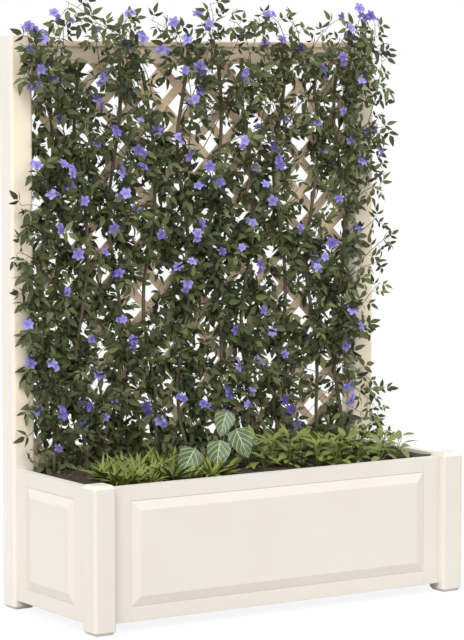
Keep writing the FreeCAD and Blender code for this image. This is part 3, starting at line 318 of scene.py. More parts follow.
def petal_skin(name):
    """Violet-blue petals, deep at the eye and pale along the middle bar."""
    finish, along, side, tone = blade_finish(name)
    bar = 1 - finish.soften(side, 0.04, 0.3)
    streaks = finish.noise(260.0)
    colour = finish.mix(finish.soften(tone * 0.7 + along * 0.4, 0.1, 0.9), PETAL_DEEP, PETAL_PALE)
    colour = finish.mix(bar * 0.25, colour, PETAL_BAR)
    colour = finish.mix((1 - finish.soften(along, 0.02, 0.3)) * 0.85, colour, PETAL_EYE)
    return finish.set(Base_Color=colour, Roughness=0.55 + streaks * 0.15,
                      Normal=finish.bump(streaks + bar, 0.0005, 0.5))


# Plain meshes of leaves, flowers and soil

def new_mesh(name, points, faces, places=None):
    """A mesh with its doubles merged and, where places are given, a UV map."""
    mesh = bpy.data.meshes.new(name)
    mesh.from_pydata(points, [], faces)
    if places:
        layer = mesh.uv_layers.new(name="UVMap")
        for loop in mesh.loops:
            layer.data[loop.index].uv = places[loop.vertex_index]
    shape = bmesh.new()
    shape.from_mesh(mesh)
    bmesh.ops.remove_doubles(shape, verts=shape.verts, dist=1e-6)
    shape.to_mesh(mesh)
    shape.free()
    return mesh


def new_object(name, data):
    piece = bpy.data.objects.new(name, data)
    bpy.context.scene.collection.objects.link(piece)
    return piece


def mesh_of(name, shape):
    """A mesh of a finished shape, which is then freed."""
    mesh = bpy.data.meshes.new(name)
    shape.to_mesh(mesh)
    shape.free()
    return mesh


def joined(name, copies):
    """One mesh of several meshes, each moved by its own matrix."""
    shape = bmesh.new()
    for mesh, matrix in copies:
        first = len(shape.verts)
        shape.from_mesh(mesh)
        shape.verts.ensure_lookup_table()
        bmesh.ops.transform(shape, matrix=matrix, verts=shape.verts[first:])
    return mesh_of(name, shape)


def turned(turn, lift, roll=0.0, at=(0, 0, 0), scale=1.0):
    """Turn about Z, lift of the +X axis, roll about it, then a move. Angles in degrees."""
    return (Matrix.Translation(at) @ Matrix.Rotation(math.radians(turn), 4, "Z")
            @ Matrix.Rotation(math.radians(-lift), 4, "Y") @ Matrix.Rotation(math.radians(roll), 4, "X")
            @ Matrix.Scale(scale, 4))


def around(turn, reach, height=0.0):
    """A point at a reach from the Z axis, turned about it."""
    return reach * math.cos(math.radians(turn)), reach * math.sin(math.radians(turn)), height


def outline(place, roundness, fullness=1.0, foot=0.0):
    """Half width of a blade from its foot at 0 to its tip at 1, widest near the foot for a small place."""
    def half_width(u):
        swell = math.sin(math.pi * u ** place) ** roundness if 0 < u < 1 else 0.0
        return foot * (1 - u) + fullness * swell
    return half_width


POINTED = outline(0.8, 0.85)
OVATE = outline(0.66, 0.85)
LANCE = outline(0.7, 0.8, 0.85, 0.3)
BROAD = outline(0.58, 0.72)
PETAL = outline(1.5, 0.62, 0.96, 0.16)


def grid_faces(rows, columns, flipped=False):
    """Faces between the points of a grid that is given row by row."""
    step = columns + 1
    corners = (0, step, step + 1, 1) if flipped else (0, 1, step + 1, step)
    return [tuple(row * step + column + corner for corner in corners)
            for row in range(rows) for column in range(columns)]


def blade(length, width, half_width, rows, columns=2, fold=0.25, arch=0.15, ripple=0.0):
    """A blade along +X that faces +Z, folded along its midrib and arched down to its tip."""
    points, places = [], []
    for row in range(rows + 1):
        u = row / rows
        half = width / 2 * half_width(u)
        for column in range(columns + 1):
            side = 2 * column / columns - 1
            wave = ripple * half * abs(side) * math.sin(9 * u + 2 * side)
            points.append((length * u, half * side, fold * half * abs(side) - arch * length * u * u + wave))
            places.append((u, (side + 1) / 2))
    return new_mesh("blade", points, grid_faces(rows, columns, flipped=True), places)


STALK_TAPER = 0.4
SPRAY_STALK = 0.0009
SPRAY_DROOP = 0.12
SECOND_FLOWER = 0.72
GOLDEN_ANGLE = 137.5
TUFT_FOOT = 0.008
CLUMP_STALK = 0.0012


def stalk(length, radius, droop=0.0, sides=3, rows=2):
    """A thin tapering stalk along +X that droops to its tip."""
    points, places = [], []
    for row in range(rows + 1):
        u = row / rows
        thick, fall = radius * (1 - STALK_TAPER * u), droop * length * u * u
        for side in range(sides + 1):
            angle = 2 * math.pi * side / sides
            points.append((length * u, thick * math.cos(angle), thick * math.sin(angle) - fall))
            places.append((u, 0.1))
    return new_mesh("stalk", points, grid_faces(rows, sides), places)


def leaf_spray(pairs, leaflet, length, draw):
    """A leaf of several leaflets: pairs along a stalk and one at its tip."""
    copies = [(stalk(length, SPRAY_STALK, SPRAY_DROOP), Matrix())]
    for pair in range(pairs):
        along = length * (0.45 + 0.45 * pair / (pairs - 1) if pairs > 1 else 0.72)
        at = (along, 0, -SPRAY_DROOP * along * along / length)
        for side in (-1, 1):
            turn, lift = side * draw(48, 82), draw(-38, 4)
            copies.append((leaflet, turned(turn, lift, draw(-35, 35), at, draw(0.75, 1.0))))
    tip = (length, 0, -SPRAY_DROOP * length)
    turn, lift = draw(-14, 14), draw(-40, -8)
    copies.append((leaflet, turned(turn, lift, draw(-25, 25), tip, draw(0.95, 1.15))))
    return joined("spray", copies)


def flower_eye(radius, sides=6):
    """A small domed eye."""
    angles = [2 * math.pi * side / sides for side in range(sides)]
    points = [(radius * math.cos(angle), radius * math.sin(angle), 0) for angle in angles]
    faces = [(0, 1 + side, 1 + (side + 1) % sides) for side in range(sides)]
    return new_mesh("eye", [(0, 0, radius * 0.9)] + points, faces, [(0.0, 0.5)] * (sides + 1))


def star_flower(petals, radius, draw):
    """A star of separate petals with a ring of short, raised ones inside it, facing +Z."""
    copies = [(flower_eye(radius * 0.12), Matrix())]
    rings = ((petals, 1.0, 0.62, (-4, 20), 4), (petals - 1, 0.4, 0.4, (30, 60), 2))
    for count, reach, fullness, lifts, rows in rings:
        width = 2 * radius * reach * math.sin(math.pi / count) * fullness
        for number in range(count):
            length = radius * reach * draw(0.88, 1.08)
            leaf = blade(length, width, PETAL, rows, fold=draw(0.1, 0.3), arch=draw(0.0, 0.3))
            turn = 360 * number / count + draw(-8, 8)
            copies.append((leaf, turned(turn, draw(*lifts), draw(-14, 14))))
    return joined("flower", copies)


def flower_pair(flower, radius, draw):
    """A flower with a smaller one half behind it, turned away."""
    second = star_flower(5, radius, draw)
    at = (radius * 0.9, radius * draw(0.2, 0.6), -radius * 0.35)
    turn = turned(draw(10, 40), draw(-42, -25), draw(-25, 5), at, SECOND_FLOWER)
    return joined("flower_pair", [(flower, Matrix()), (second, turn)])


def tuft(count, length, width, draw):
    """Narrow blades that rise from one foot and arch outwards."""
    copies = []
    for number in range(count):
        size = length * draw(0.6, 1.05)
        leaf = blade(size, width * draw(0.8, 1.2), LANCE, 5, fold=0.4, arch=draw(0.25, 0.7))
        turn = GOLDEN_ANGLE * number + draw(-20, 20)
        foot = around(turn, TUFT_FOOT * math.sqrt(number / count))
        copies.append((leaf, turned(turn, draw(32, 82), draw(-30, 30), foot)))
    return joined("tuft", copies)


def leafy_clump(count, length, width, draw):
    """Pointed leaves on short stalks round one foot, low ones outside."""
    copies = []
    for number in range(count):
        outer = (number + 0.5) / count
        size = length * draw(0.7, 1.1)
        leaf = blade(size, width * draw(0.85, 1.15), POINTED, 5, fold=0.3,
                     arch=draw(0.1, 0.35), ripple=0.06)
        turn = GOLDEN_ANGLE * number + draw(-18, 18)
        rise = 0.014 + 0.046 * (1 - outer) * draw(0.7, 1.3)
        reach = 0.004 + 0.016 * outer
        stem = stalk(math.hypot(reach, rise), CLUMP_STALK)
        copies.append((stem, turned(turn, math.degrees(math.atan2(rise, reach)))))
        lift = 40 - 58 * outer + draw(-14, 14)
        copies.append((leaf, turned(turn, lift, draw(-22, 22), around(turn, reach, rise))))
    return joined("clump", copies)


def crumb(draw):
    """A small lump of bark or soil."""
    shape = bmesh.new()
    bmesh.ops.create_icosphere(shape, subdivisions=1, radius=1.0)
    for vert in shape.verts:
        vert.co *= draw(0.7, 1.15)
        vert.co.z *= 0.6
    return mesh_of("crumb", shape)


# Geometry node trees

def named_tree(name, inputs):
    """A tree with named inputs, and the wires that come from them."""
    tree = bpy.data.node_groups.new(name, "GeometryNodeTree")
    for label, kind in inputs:
        tree.interface.new_socket(name=label, in_out="INPUT", socket_type=kind)
    tree.interface.new_socket(name="Planting", in_out="OUTPUT", socket_type="NodeSocketGeometry")
    nodes = Nodes(tree)
    group = tree.nodes.new("NodeGroupInput")
    return nodes, {label: Wire(nodes, group.outputs[label]) for label, kind in inputs}


def scatter_tree(name, *extra):
    """A tree that sets one of three shapes on points of a surface."""
    return named_tree(name, [
        ("Surface", "NodeSocketGeometry"), ("Shape 1", "NodeSocketObject"), ("Shape 2", "NodeSocketObject"),
        ("Shape 3", "NodeSocketObject"), ("Seed", "NodeSocketInt"), ("Least Size", "NodeSocketFloat"),
        ("Most Size", "NodeSocketFloat"), ("Skin", "NodeSocketMaterial"),
    ] + [(label, "NodeSocketFloat") for label in extra])


def random_number(nodes, low, high, seed):
    return nodes.add("FunctionNodeRandomValue", {"data_type": "FLOAT"},
                     {"Min_001": low, "Max_001": high, "Seed": seed}, "Value_001")


def random_vector(nodes, reach, seed):
    return nodes.add("FunctionNodeRandomValue", {"data_type": "FLOAT_VECTOR"},
                     {"Min": (-reach,) * 3, "Max": (reach,) * 3, "Seed": seed}, "Value")


def vector_sum(nodes, *terms):
    total = terms[0]
    for term in terms[1:]:
        total = nodes.add("ShaderNodeVectorMath", {"operation": "ADD"}, {0: total, 1: term})
    return total


def named_value(nodes, name, kind="FLOAT"):
    return nodes.add("GeometryNodeInputNamedAttribute", {"data_type": kind}, {"Name": name}, "Attribute")


def aligned(nodes, vector, axis, rotation=None, pivot="AUTO"):
    inputs = {"Vector": vector}
    if rotation:
        inputs["Rotation"] = rotation
    return nodes.add("FunctionNodeAlignRotationToVector", {"axis": axis, "pivot_axis": pivot}, inputs)


def end_tree(nodes, given, geometry):
    """Ends a tree with its geometry, smooth and in its skin."""
    smooth = nodes.add("GeometryNodeSetShadeSmooth", (), {"Geometry": geometry})
    skinned = nodes.add("GeometryNodeSetMaterial", (), {"Geometry": smooth, "Material": given["Skin"]})
    nodes.add("NodeGroupOutput", (), {"Planting": skinned})
    return nodes.tree


def set_shapes(nodes, given, points, rotation):
    """Sets the three shapes on points, gives each a tone, and ends the tree."""
    seed = given["Seed"]
    shapes = [
        nodes.add("GeometryNodeObjectInfo", (), {
            "Object": given[f"Shape {number}"], "As Instance": True}, "Geometry")
        for number in (1, 2, 3)
    ]
    pool = nodes.add("GeometryNodeJoinGeometry", (), {"Geometry": shapes})
    pick = nodes.add("FunctionNodeRandomValue", {"data_type": "INT"},
                     {"Min_002": 0, "Max_002": 2, "Seed": seed + 11}, "Value_002")
    size = random_number(nodes, given["Least Size"], given["Most Size"], seed + 12)
    planted = nodes.add("GeometryNodeInstanceOnPoints", (), {
        "Points": points, "Instance": pool, "Pick Instance": True, "Instance Index": pick,
        "Rotation": rotation, "Scale": size})
    toned = nodes.add("GeometryNodeStoreNamedAttribute", {"data_type": "FLOAT", "domain": "INSTANCE"}, {
        "Geometry": planted, "Name": "tone", "Value": random_number(nodes, 0.0, 1.0, seed + 13)})
    return end_tree(nodes, given, nodes.add("GeometryNodeRealizeInstances", (), {"Geometry": toned}))


# Which way leaves and plants lean and face, with -Y to the front
TWIG_LEAF_LEAN = (0.0, -0.35, -0.4)
SHOOT_LEAF_LEAN = (0.0, -0.35, -0.3)
LEAF_FACE = (-0.25, -0.85, 0.4)
PLANT_LEAN = (0.0, -0.12, 1.0)
LEAST_FORWARD = -0.25
OFF_BARK = 0.55
GAP_SHARPNESS = 9.0
GAP_LEAVES = 0.1
# Where the foliage opens: place along the trellis, height and radius
CLEARINGS = (
    (0.367, 0.505, 0.090), (-0.084, 0.496, 0.045), (-0.455, 0.435, 0.040), (0.515, 0.600, 0.055),
)
CLEARING_LEAVES = 0.08


def leafy_rotation(nodes, given, aim):
    """Turns a spray along its aim, and its leaves to the front and a little up."""
    face = vector_sum(nodes, random_vector(nodes, 0.6, given["Seed"] + 2), LEAF_FACE)
    return aligned(nodes, face, "Z", aligned(nodes, aim, "X"), "X")


def loose_rotation(nodes, given, aim):
    """Faces a flower or plant nearly along its aim, and turns it at random."""
    facing = vector_sum(nodes, aim, random_vector(nodes, 0.22, given["Seed"] + 1))
    turn = random_vector(nodes, 1.0, given["Seed"] + 2)
    return aligned(nodes, turn, "X", aligned(nodes, facing, "Z"), "Z")


def leaf_share(nodes, given, along, height, spot):
    """The share of leaves that stay: full at the left, thin at the top, with gaps and clearings."""
    cloud = nodes.add("ShaderNodeTexNoise", (), {"Vector": spot, "Scale": given["Gap Scale"], "Detail": 2.0})
    share = ((cloud - given["Gap Level"]) * GAP_SHARPNESS + 0.5).least(1.0).most(GAP_LEAVES)
    share = share.most((along < given["Full Left"]) * (height < given["Full Height"]))
    share = share * (1 - (height > given["Bare Height"]) * (1 - given["Top Share"]))
    for x, z, radius in CLEARINGS:
        reach = (along - x) * (along - x) + (height - z) * (height - z)
        share = share * (1 - (reach < radius ** 2) * (1 - CLEARING_LEAVES))
    return share


def twig_foliage_tree():
    """Leaf sprays on the twigs and slats, forwards and drooping."""
    nodes, given = scatter_tree("twig_foliage", "Density", "Lowest", "Highest", "Gap Scale", "Gap Level",
                                "Bare Height", "Top Share", "Full Left", "Full Height")
    points = nodes.add("GeometryNodeDistributePointsOnFaces", {"distribute_method": "RANDOM"}, {
        "Mesh": given["Surface"], "Density": given["Density"] * named_value(nodes, "leafiness"),
        "Seed": given["Seed"]})
    spot = nodes.add("GeometryNodeInputPosition")
    along = nodes.add("ShaderNodeSeparateXYZ", (), {0: spot}, "X")
    height = nodes.other(along, "Z")
    share = leaf_share(nodes, given, along, height, spot)
    dropped = random_number(nodes, 0.0, 1.0, given["Seed"] + 3) > share
    outside = 1 - (height > given["Lowest"]) * (height < given["Highest"])
    kept = nodes.add("GeometryNodeDeleteGeometry", {"domain": "POINT"}, {
        "Geometry": points, "Selection": outside + dropped > 0.5})
    outward = nodes.add("ShaderNodeVectorMath", {"operation": "SCALE"}, {
        0: nodes.other(points, "Normal"), "Scale": OFF_BARK})
    aim = vector_sum(nodes, outward, random_vector(nodes, 0.75, given["Seed"] + 1), TWIG_LEAF_LEAN)
    side = nodes.add("ShaderNodeSeparateXYZ", (), {0: aim}, "X")
    forward = nodes.other(side, "Y").least(LEAST_FORWARD)
    aim = nodes.add("ShaderNodeCombineXYZ", (), {"X": side, "Y": forward, "Z": nodes.other(side, "Z")})
    return set_shapes(nodes, given, kept, leafy_rotation(nodes, given, aim))


def placed_tree(name, rotation):
    """Shapes at given points, each turned by its own aim."""
    nodes, given = scatter_tree(name)
    points = nodes.add("GeometryNodeMeshToPoints", (), {"Mesh": given["Surface"]})
    aim = named_value(nodes, "aim", "FLOAT_VECTOR")
    return set_shapes(nodes, given, points, rotation(nodes, given, aim))


def twig_tree():
    """Thin round twigs along paths, as thick as each point says."""
    nodes, given = named_tree("twig_tubes", [
        ("Paths", "NodeSocketGeometry"), ("Sides", "NodeSocketInt"), ("Skin", "NodeSocketMaterial")])
    thickness = named_value(nodes, "thickness")
    curves = nodes.add("GeometryNodeMeshToCurve", (), {"Mesh": given["Paths"]})
    ring = nodes.add("GeometryNodeCurvePrimitiveCircle", (), {"Resolution": given["Sides"], "Radius": 1.0})
    tubes = nodes.add("GeometryNodeCurveToMesh", (), {
        "Curve": curves, "Profile Curve": ring, "Fill Caps": True, "Scale": thickness})
    return end_tree(nodes, given, tubes)


def bed_tree():
    """Plants that stand on a patch of soil, each turned at random and leaning a little."""
    nodes, given = scatter_tree("bed_planting", "Spacing", "Density")
    points = nodes.add("GeometryNodeDistributePointsOnFaces", {"distribute_method": "POISSON"}, {
        "Mesh": given["Surface"], "Distance Min": given["Spacing"], "Density Max": given["Density"],
        "Seed": given["Seed"]})
    return set_shapes(nodes, given, points, loose_rotation(nodes, given, PLANT_LEAN))


def grown(name, tree, surface, shapes=(), **values):
    """A plain mesh piece that a tree makes from a surface or paths, and its shapes."""
    source = new_object("source", surface)
    stand = [bpy.data.objects.new("shape", mesh) for mesh in shapes]
    modifier = source.modifiers.new("growth", "NODES")
    modifier.node_group = tree
    settings = {f"Shape {number}": shape for number, shape in enumerate(stand, start=1)}
    settings.update({label.replace("_", " "): value for label, value in values.items()})
    for item in tree.interface.items_tree:
        if item.in_out == "INPUT" and item.name in settings:
            modifier[item.identifier] = settings[item.name]
    bpy.context.view_layer.update()
    evaluated = source.evaluated_get(bpy.context.evaluated_depsgraph_get())
    mesh = bpy.data.meshes.new_from_object(evaluated)
    source.modifiers.clear()
    for item in (source, *stand):
        bpy.data.objects.remove(item)
    mesh.name = name
    return new_object(name, mesh)


# Places read from the solids

def islands(node):
    """The points of each separate solid of a node."""
    shape = bmesh.new()
    shape.from_mesh(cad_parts[node].data)
    bmesh.ops.remove_doubles(shape, verts=shape.verts, dist=1e-5)
    shape.verts.index_update()
    seen, found = set(), []
    for first in shape.verts:
        if first.index in seen:
            continue
        seen.add(first.index)
        stack, points = [first], []
        while stack:
            vert = stack.pop()
            points.append(tuple(vert.co))
            for edge in vert.link_edges:
                other = edge.other_vert(vert)
                if other.index not in seen:
                    seen.add(other.index)
                    stack.append(other)
        found.append(numpy.array(points))
    shape.free()
    return found


def main_axes(points):
    """The middle of some points and their axes, from the shortest spread to the longest."""
    middle = (points.min(axis=0) + points.max(axis=0)) / 2
    axes = numpy.linalg.eigh(numpy.cov((points - points.mean(axis=0)).T))[1]
    return Vector(middle), [Vector(axes[:, number]) for number in range(3)]


def aimed_points(places, aims):
    """A mesh of loose points, each with its aim."""
    mesh = bpy.data.meshes.new("points")
    mesh.from_pydata(places, [], [])
    layer = mesh.attributes.new("aim", "FLOAT_VECTOR", "POINT")
    for item, aim in zip(layer.data, aims):
        item.vector = aim
    return mesh


# The leafy strip on the front of the left tall post
POST_BARE_WIDTH = 0.026
POST_LEAVES = (0.38, 1.02)
POST_LEAFINESS = 0.21


def leafy_carriers(carriers):
    """A merged mesh of what carries leaves: nodes, their shares of leaves, and if only their fronts.

    It ends at the inner faces of the tall posts, and has a strip on the front of the left one.
    """
    shape = bmesh.new()
    layer = shape.verts.layers.float.new("leafiness")
    for node, share, front_only in carriers:
        verts, faces = len(shape.verts), len(shape.faces)
        shape.from_mesh(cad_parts[node].data)
        shape.verts.ensure_lookup_table()
        shape.faces.ensure_lookup_table()
        for vert in shape.verts[verts:]:
            vert[layer] = share
        if front_only:
            hidden = [face for face in shape.faces[faces:] if face.normal.y > -0.5]
            bmesh.ops.delete(shape, geom=hidden, context="FACES")
    low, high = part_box("post_rear_left")
    for inside, outward in ((high.x, -1), (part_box("post_rear_right")[0].x, 1)):
        bmesh.ops.bisect_plane(shape, geom=shape.verts[:] + shape.edges[:] + shape.faces[:],
                               plane_co=(inside, 0, 0), plane_no=(outward, 0, 0), clear_outer=True)
    left, (bottom, top) = low.x + POST_BARE_WIDTH, POST_LEAVES
    corners = ((left, bottom), (high.x, bottom), (high.x, top), (left, top))
    strip = [shape.verts.new((x, low.y, z)) for x, z in corners]
    for vert in strip:
        vert[layer] = POST_LEAFINESS
    shape.faces.new(strip)
    bmesh.ops.remove_doubles(shape, verts=shape.verts, dist=1e-6)
    return mesh_of("carriers", shape)


def bed(node, inset, height, more_left=0.0, more_right=0.0):
    """A flat patch of soil under a node, set in from its box, then longer or shorter at either end."""
    low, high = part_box(node)
    left, right = low.x + inset - more_left, high.x - inset + more_right
    corners = [
        (left, low.y + inset, height), (right, low.y + inset, height),
        (right, high.y - inset, height), (left, high.y - inset, height),
    ]
    return new_mesh("bed", corners, [(0, 1, 2, 3)])


def settle(piece, slot, *nodes):
    """Rides a finished piece on the planter, in place of its nodes."""
    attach(piece, "root")
    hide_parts(*nodes)


# Soil

SOIL_CELLS = (150, 54)
SOIL_WAVES = 14
SOIL_WAVE_RANGE = (20, 190)
SOIL_LUMP = 0.0045
SOIL_LUMP_LIMIT = 0.004
SOIL_EDGE_DROP = 0.002
SOIL_HEAP = 0.009
SOIL_BANK = 0.005
SOIL_BANK_REACH = 0.07
CRUMB_INSET = 0.012


def soil_crumbs(material):
    """Loose crumbs and bits of bark on the soil."""
    draw = random.Random(5).uniform
    shapes = [crumb(draw) for _ in range(3)]
    patch = bed("potting_soil", CRUMB_INSET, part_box("potting_soil")[1].z + SOIL_HEAP)
    return grown("soil_crumbs", bed_tree(), patch, shapes, Spacing=0.013, Density=1600.0, Seed=51,
                 Least_Size=0.0022, Most_Size=0.0065, Skin=material)


def soil_top(low, high):
    """Points of the lumpy top of the soil, row by row. It banks up to the right."""
    columns, rows = SOIL_CELLS
    draw = random.Random(4).uniform
    waves = [(draw(*SOIL_WAVE_RANGE), draw(*SOIL_WAVE_RANGE), draw(0, 6.3))
             for _ in range(SOIL_WAVES)]
    points = []
    for row in range(rows + 1):
        for column in range(columns + 1):
            x = low.x + (high.x - low.x) * column / columns
            y = low.y + (high.y - low.y) * row / rows
            lump = sum(math.sin(a * x + b * y + c) / (1 + 0.02 * (a + b)) for a, b, c in waves)
            lump = lump * SOIL_LUMP * 0.5 + draw(-0.25, 0.25) * SOIL_LUMP
            lump = max(-SOIL_LUMP_LIMIT, min(SOIL_LUMP_LIMIT, lump))
            if column in (0, columns) or row in (0, rows):
                lump = -SOIL_EDGE_DROP
            bank = SOIL_BANK * max(0.0, 1 - (high.x - x) / SOIL_BANK_REACH)
            points.append((x, y, high.z + SOIL_HEAP + bank + lump))
    return points


def soil_bed():
    """The filling of the trough, from its lumpy top down to its flat foot."""
    low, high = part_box("potting_soil")
    columns, rows = SOIL_CELLS
    points, faces = soil_top(low, high), grid_faces(rows, columns)
    step = columns + 1
    rim = list(range(columns))
    rim += [columns + row * step for row in range(rows)]
    rim += [rows * step + columns - column for column in range(columns)]
    rim += [(rows - row) * step for row in range(rows)]
    foot = len(points)
    points += [(points[index][0], points[index][1], low.z) for index in rim]
    for number in range(len(rim)):
        after = (number + 1) % len(rim)
        faces.append((rim[after], rim[number], foot + number, foot + after))
    faces.append(tuple(range(foot + len(rim) - 1, foot - 1, -1)))
    return new_object("soil_filling", new_mesh("soil_filling", points, faces))


# Climber

# Pairs of leaflets and length of stalk of each spray, then length, width, fold and arch of a leaflet
SPRAYS = (
    (1, 0.024, 0.036, 0.0158, 0.28, 0.18),
    (2, 0.042, 0.031, 0.0138, 0.38, 0.10),
    (1, 0.028, 0.040, 0.0165, 0.22, 0.32),
)
# What carries leaves, its share of them, and if only its front does
CARRIERS = (
    ("climber_stems", 0.2, False), ("lattice_rising_slats", 0.45, True),
    ("lattice_falling_slats", 0.45, True), ("trellis_bottom_rail", 0.45, True),
)
# Sizes of the sprays, scale of the gaps, and where the foliage is thin or full
FOLIAGE = {"Least_Size": 0.72, "Most_Size": 1.1, "Gap_Scale": 9.0, "Bare_Height": 1.20, "Top_Share": 0.26,
           "Full_Left": -0.44, "Full_Height": 1.0}
FOLIAGE_FOOT = 0.025
FOLIAGE_SPLIT = 0.03
SHOOT_STEPS = 6
SHOOT_SIDES = 5
SHOOT_BOW = 0.16
SHOOT_THICKNESS = (0.0013, 0.0006)
SHOOT_LEAF_START = 0.12
# True for shoots that flower
SHOOT_LEAF_END = {True: 0.80, False: 0.98}
SHOOT_LEAF_SPACING = {True: 0.021, False: 0.019}
TOP_LEAF_SPACING = 0.026
TOP_NEARNESS = 0.65
BLOOM_NEAR = 0.016
BLOOM_FORWARD = 0.009
FLOWER_RADIUS = 0.0158
FLOWER_PETALS = (6, 5, 6)


def bloom_places():
    """Where each flower sits, a little in front of its solid, and which way it faces."""
    places = []
    for points in islands("climber_flowers"):
        middle, axes = main_axes(points)
        facing = axes[0] if axes[0].y < 0 else -axes[0]
        places.append((middle, facing, middle + facing * BLOOM_FORWARD))
    return places


def shoot_paths(blooms, draw):
    """The bowed line of each shoot, from its foot to its tip or flower, and if it flowers."""
    paths, rail_top = [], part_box("trellis_top_rail")[1].z
    for points in islands("climber_shoots"):
        centre = points.mean(axis=0)
        along = numpy.array(main_axes(points)[1][2])
        places = (points - centre) @ along
        thick = numpy.linalg.norm(points - centre - numpy.outer(places, along), axis=1)
        if thick[places > 0].max() > thick[places < 0].max():
            along, places = -along, -places
        foot, tip = Vector(centre + along * places.min()), Vector(centre + along * places.max())
        ends = [end for middle, facing, end in blooms if (middle - tip).length < BLOOM_NEAR]
        tip = ends[0] if ends else tip
        if tip.z > rail_top:
            foot.x += (tip.x - foot.x) * TOP_NEARNESS
        bow = Vector((draw(-1, 1), draw(-1, 0.2), draw(0.4, 1.4)))
        bow *= (tip - foot).length * SHOOT_BOW
        shares = [step / SHOOT_STEPS for step in range(SHOOT_STEPS + 1)]
        line = [foot.lerp(tip, share) + bow * 4 * share * (1 - share) for share in shares]
        paths.append((line, bool(ends)))
    return paths


def shoot_lines(paths):
    """The paths as one mesh of edges, with their thickness."""
    points = [spot for line, flowering in paths for spot in line]
    step = SHOOT_STEPS + 1
    mesh = bpy.data.meshes.new("shoot_lines")
    mesh.from_pydata(points, [(at, at + 1) for at in range(len(points)) if (at + 1) % step], [])
    layer = mesh.attributes.new("thickness", "FLOAT", "POINT")
    thick, thin = SHOOT_THICKNESS
    for at, item in enumerate(layer.data):
        item.value = thick + (thin - thick) * (at % step) / SHOOT_STEPS
    return mesh


def shoot_leaf_places(paths, lowest, highest, draw):
    """Places of leaf sprays along the shoots between two heights, to either side in turn."""
    places, aims, rail_top = [], [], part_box("trellis_top_rail")[1].z
    for line, flowering in paths:
        spacing = TOP_LEAF_SPACING if line[-1].z > rail_top else SHOOT_LEAF_SPACING[flowering]
        count = max(2, round((line[-1] - line[0]).length / spacing))
        leafy = SHOOT_LEAF_END[flowering] - SHOOT_LEAF_START
        for number in range(count):
            share = SHOOT_LEAF_START + leafy * number / (count - 1)
            at = min(int(share * SHOOT_STEPS), SHOOT_STEPS - 1)
            heading = (line[at + 1] - line[at]).normalized()
            spot = line[at].lerp(line[at + 1], share * SHOOT_STEPS - at)
            side = heading.cross(Vector((0, 1, 0))).normalized() * (1 if number % 2 else -1)
            stray = Vector([draw(-0.4, 0.4) for _ in range(3)])
            aim = heading * 0.45 + side * draw(0.4, 1.0) + stray + Vector(SHOOT_LEAF_LEAN)
            aim.y = min(aim.y, LEAST_FORWARD)
            clear = any(math.hypot(spot.x - x, spot.z - z) < radius for x, z, radius in CLEARINGS)
            if lowest <= spot.z < highest and not clear:
                places.append(spot)
                aims.append(aim)
    return aimed_points(places, aims)


def finished(name, mesh, material):
    """A smooth piece with one finish."""
    mesh.materials.append(material)
    for polygon in mesh.polygons:
        polygon.use_smooth = True
        polygon.material_index = 0
    return new_object(name, mesh)


def one_piece(name, parts, material):
    """One piece of several that share a finish."""
    mesh = joined(name, [(part.data, Matrix()) for part in parts])
    for part in parts:
        bpy.data.objects.remove(part)
    return finished(name, mesh, material)


def leaf_sprays(draw):
    sprays = []
    for pairs, stalk_length, length, width, fold, arch in SPRAYS:
        leaflet = blade(length, width, OVATE, 4, fold=fold, arch=arch)
        sprays.append(leaf_spray(pairs, leaflet, stalk_length, draw))
    return sprays


def climber_foliage(sprays, paths, material, draw):
    """Lower and upper leaves: those massed on stems and slats, and the loose ones on the shoots."""
    carriers = leafy_carriers(CARRIERS)
    low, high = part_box("climber_stems")
    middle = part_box("climber_upper_leaves")[0].z + FOLIAGE_SPLIT
    tree, shoot_tree = twig_foliage_tree(), placed_tree("shoot_leaves", leafy_rotation)
    for name, node, lowest, highest, seed, density, gaps in (
        ("lower_foliage", "climber_lower_leaves", low.z + FOLIAGE_FOOT, middle, 21, 8400.0, 0.42),
        ("upper_foliage", "climber_upper_leaves", middle, high.z + 1, 22, 8600.0, 0.43),
    ):
        massed = grown("massed_leaves", tree, carriers.copy(), sprays, Density=density, Seed=seed,
                       Skin=material, Lowest=lowest, Highest=highest, Gap_Level=gaps, **FOLIAGE)
        places = shoot_leaf_places(paths, lowest, highest, draw)
        loose = grown("loose_leaves", shoot_tree, places, sprays, Seed=seed + 5, Least_Size=0.62,
                      Most_Size=0.98, Skin=material)
        settle(one_piece(name, (massed, loose), material), "climber_leaf", node)


def climber_flowers(blooms, material, draw):
    """Single flowers and pairs at the places of the blooms."""
    single, *others = [star_flower(count, FLOWER_RADIUS, draw) for count in FLOWER_PETALS]
    pairs = [flower_pair(flower, FLOWER_RADIUS, draw) for flower in others]
    _, facings, ends = zip(*blooms)
    piece = grown("blooms", placed_tree("flower_places", loose_rotation), aimed_points(ends, facings),
                  [single, *pairs], Seed=31, Least_Size=0.78, Most_Size=1.15, Skin=material)
    settle(piece, "petal", "climber_flowers")


def climber_pieces(leaf_material, petal_material, bark):
    draw = random.Random(11).uniform
    sprays, blooms = leaf_sprays(draw), bloom_places()
    paths = shoot_paths(blooms, draw)
    shoots = grown("bowed_shoots", twig_tree(), shoot_lines(paths), Sides=SHOOT_SIDES, Skin=bark)
    settle(shoots, "climber_bark", "climber_shoots")
    climber_foliage(sprays, paths, leaf_material, draw)
    climber_flowers(blooms, petal_material, draw)


# Low plants

PLANT_LIFT = 0.006
# Length and width of a leaf, and leaves in each of three plants
TUFT_LEAF = (0.066, 0.0088)
TUFT_COUNTS = (24, 20, 28)
CLUMP_LEAF = (0.041, 0.0150)
CLUMP_COUNTS = (11, 13, 9)


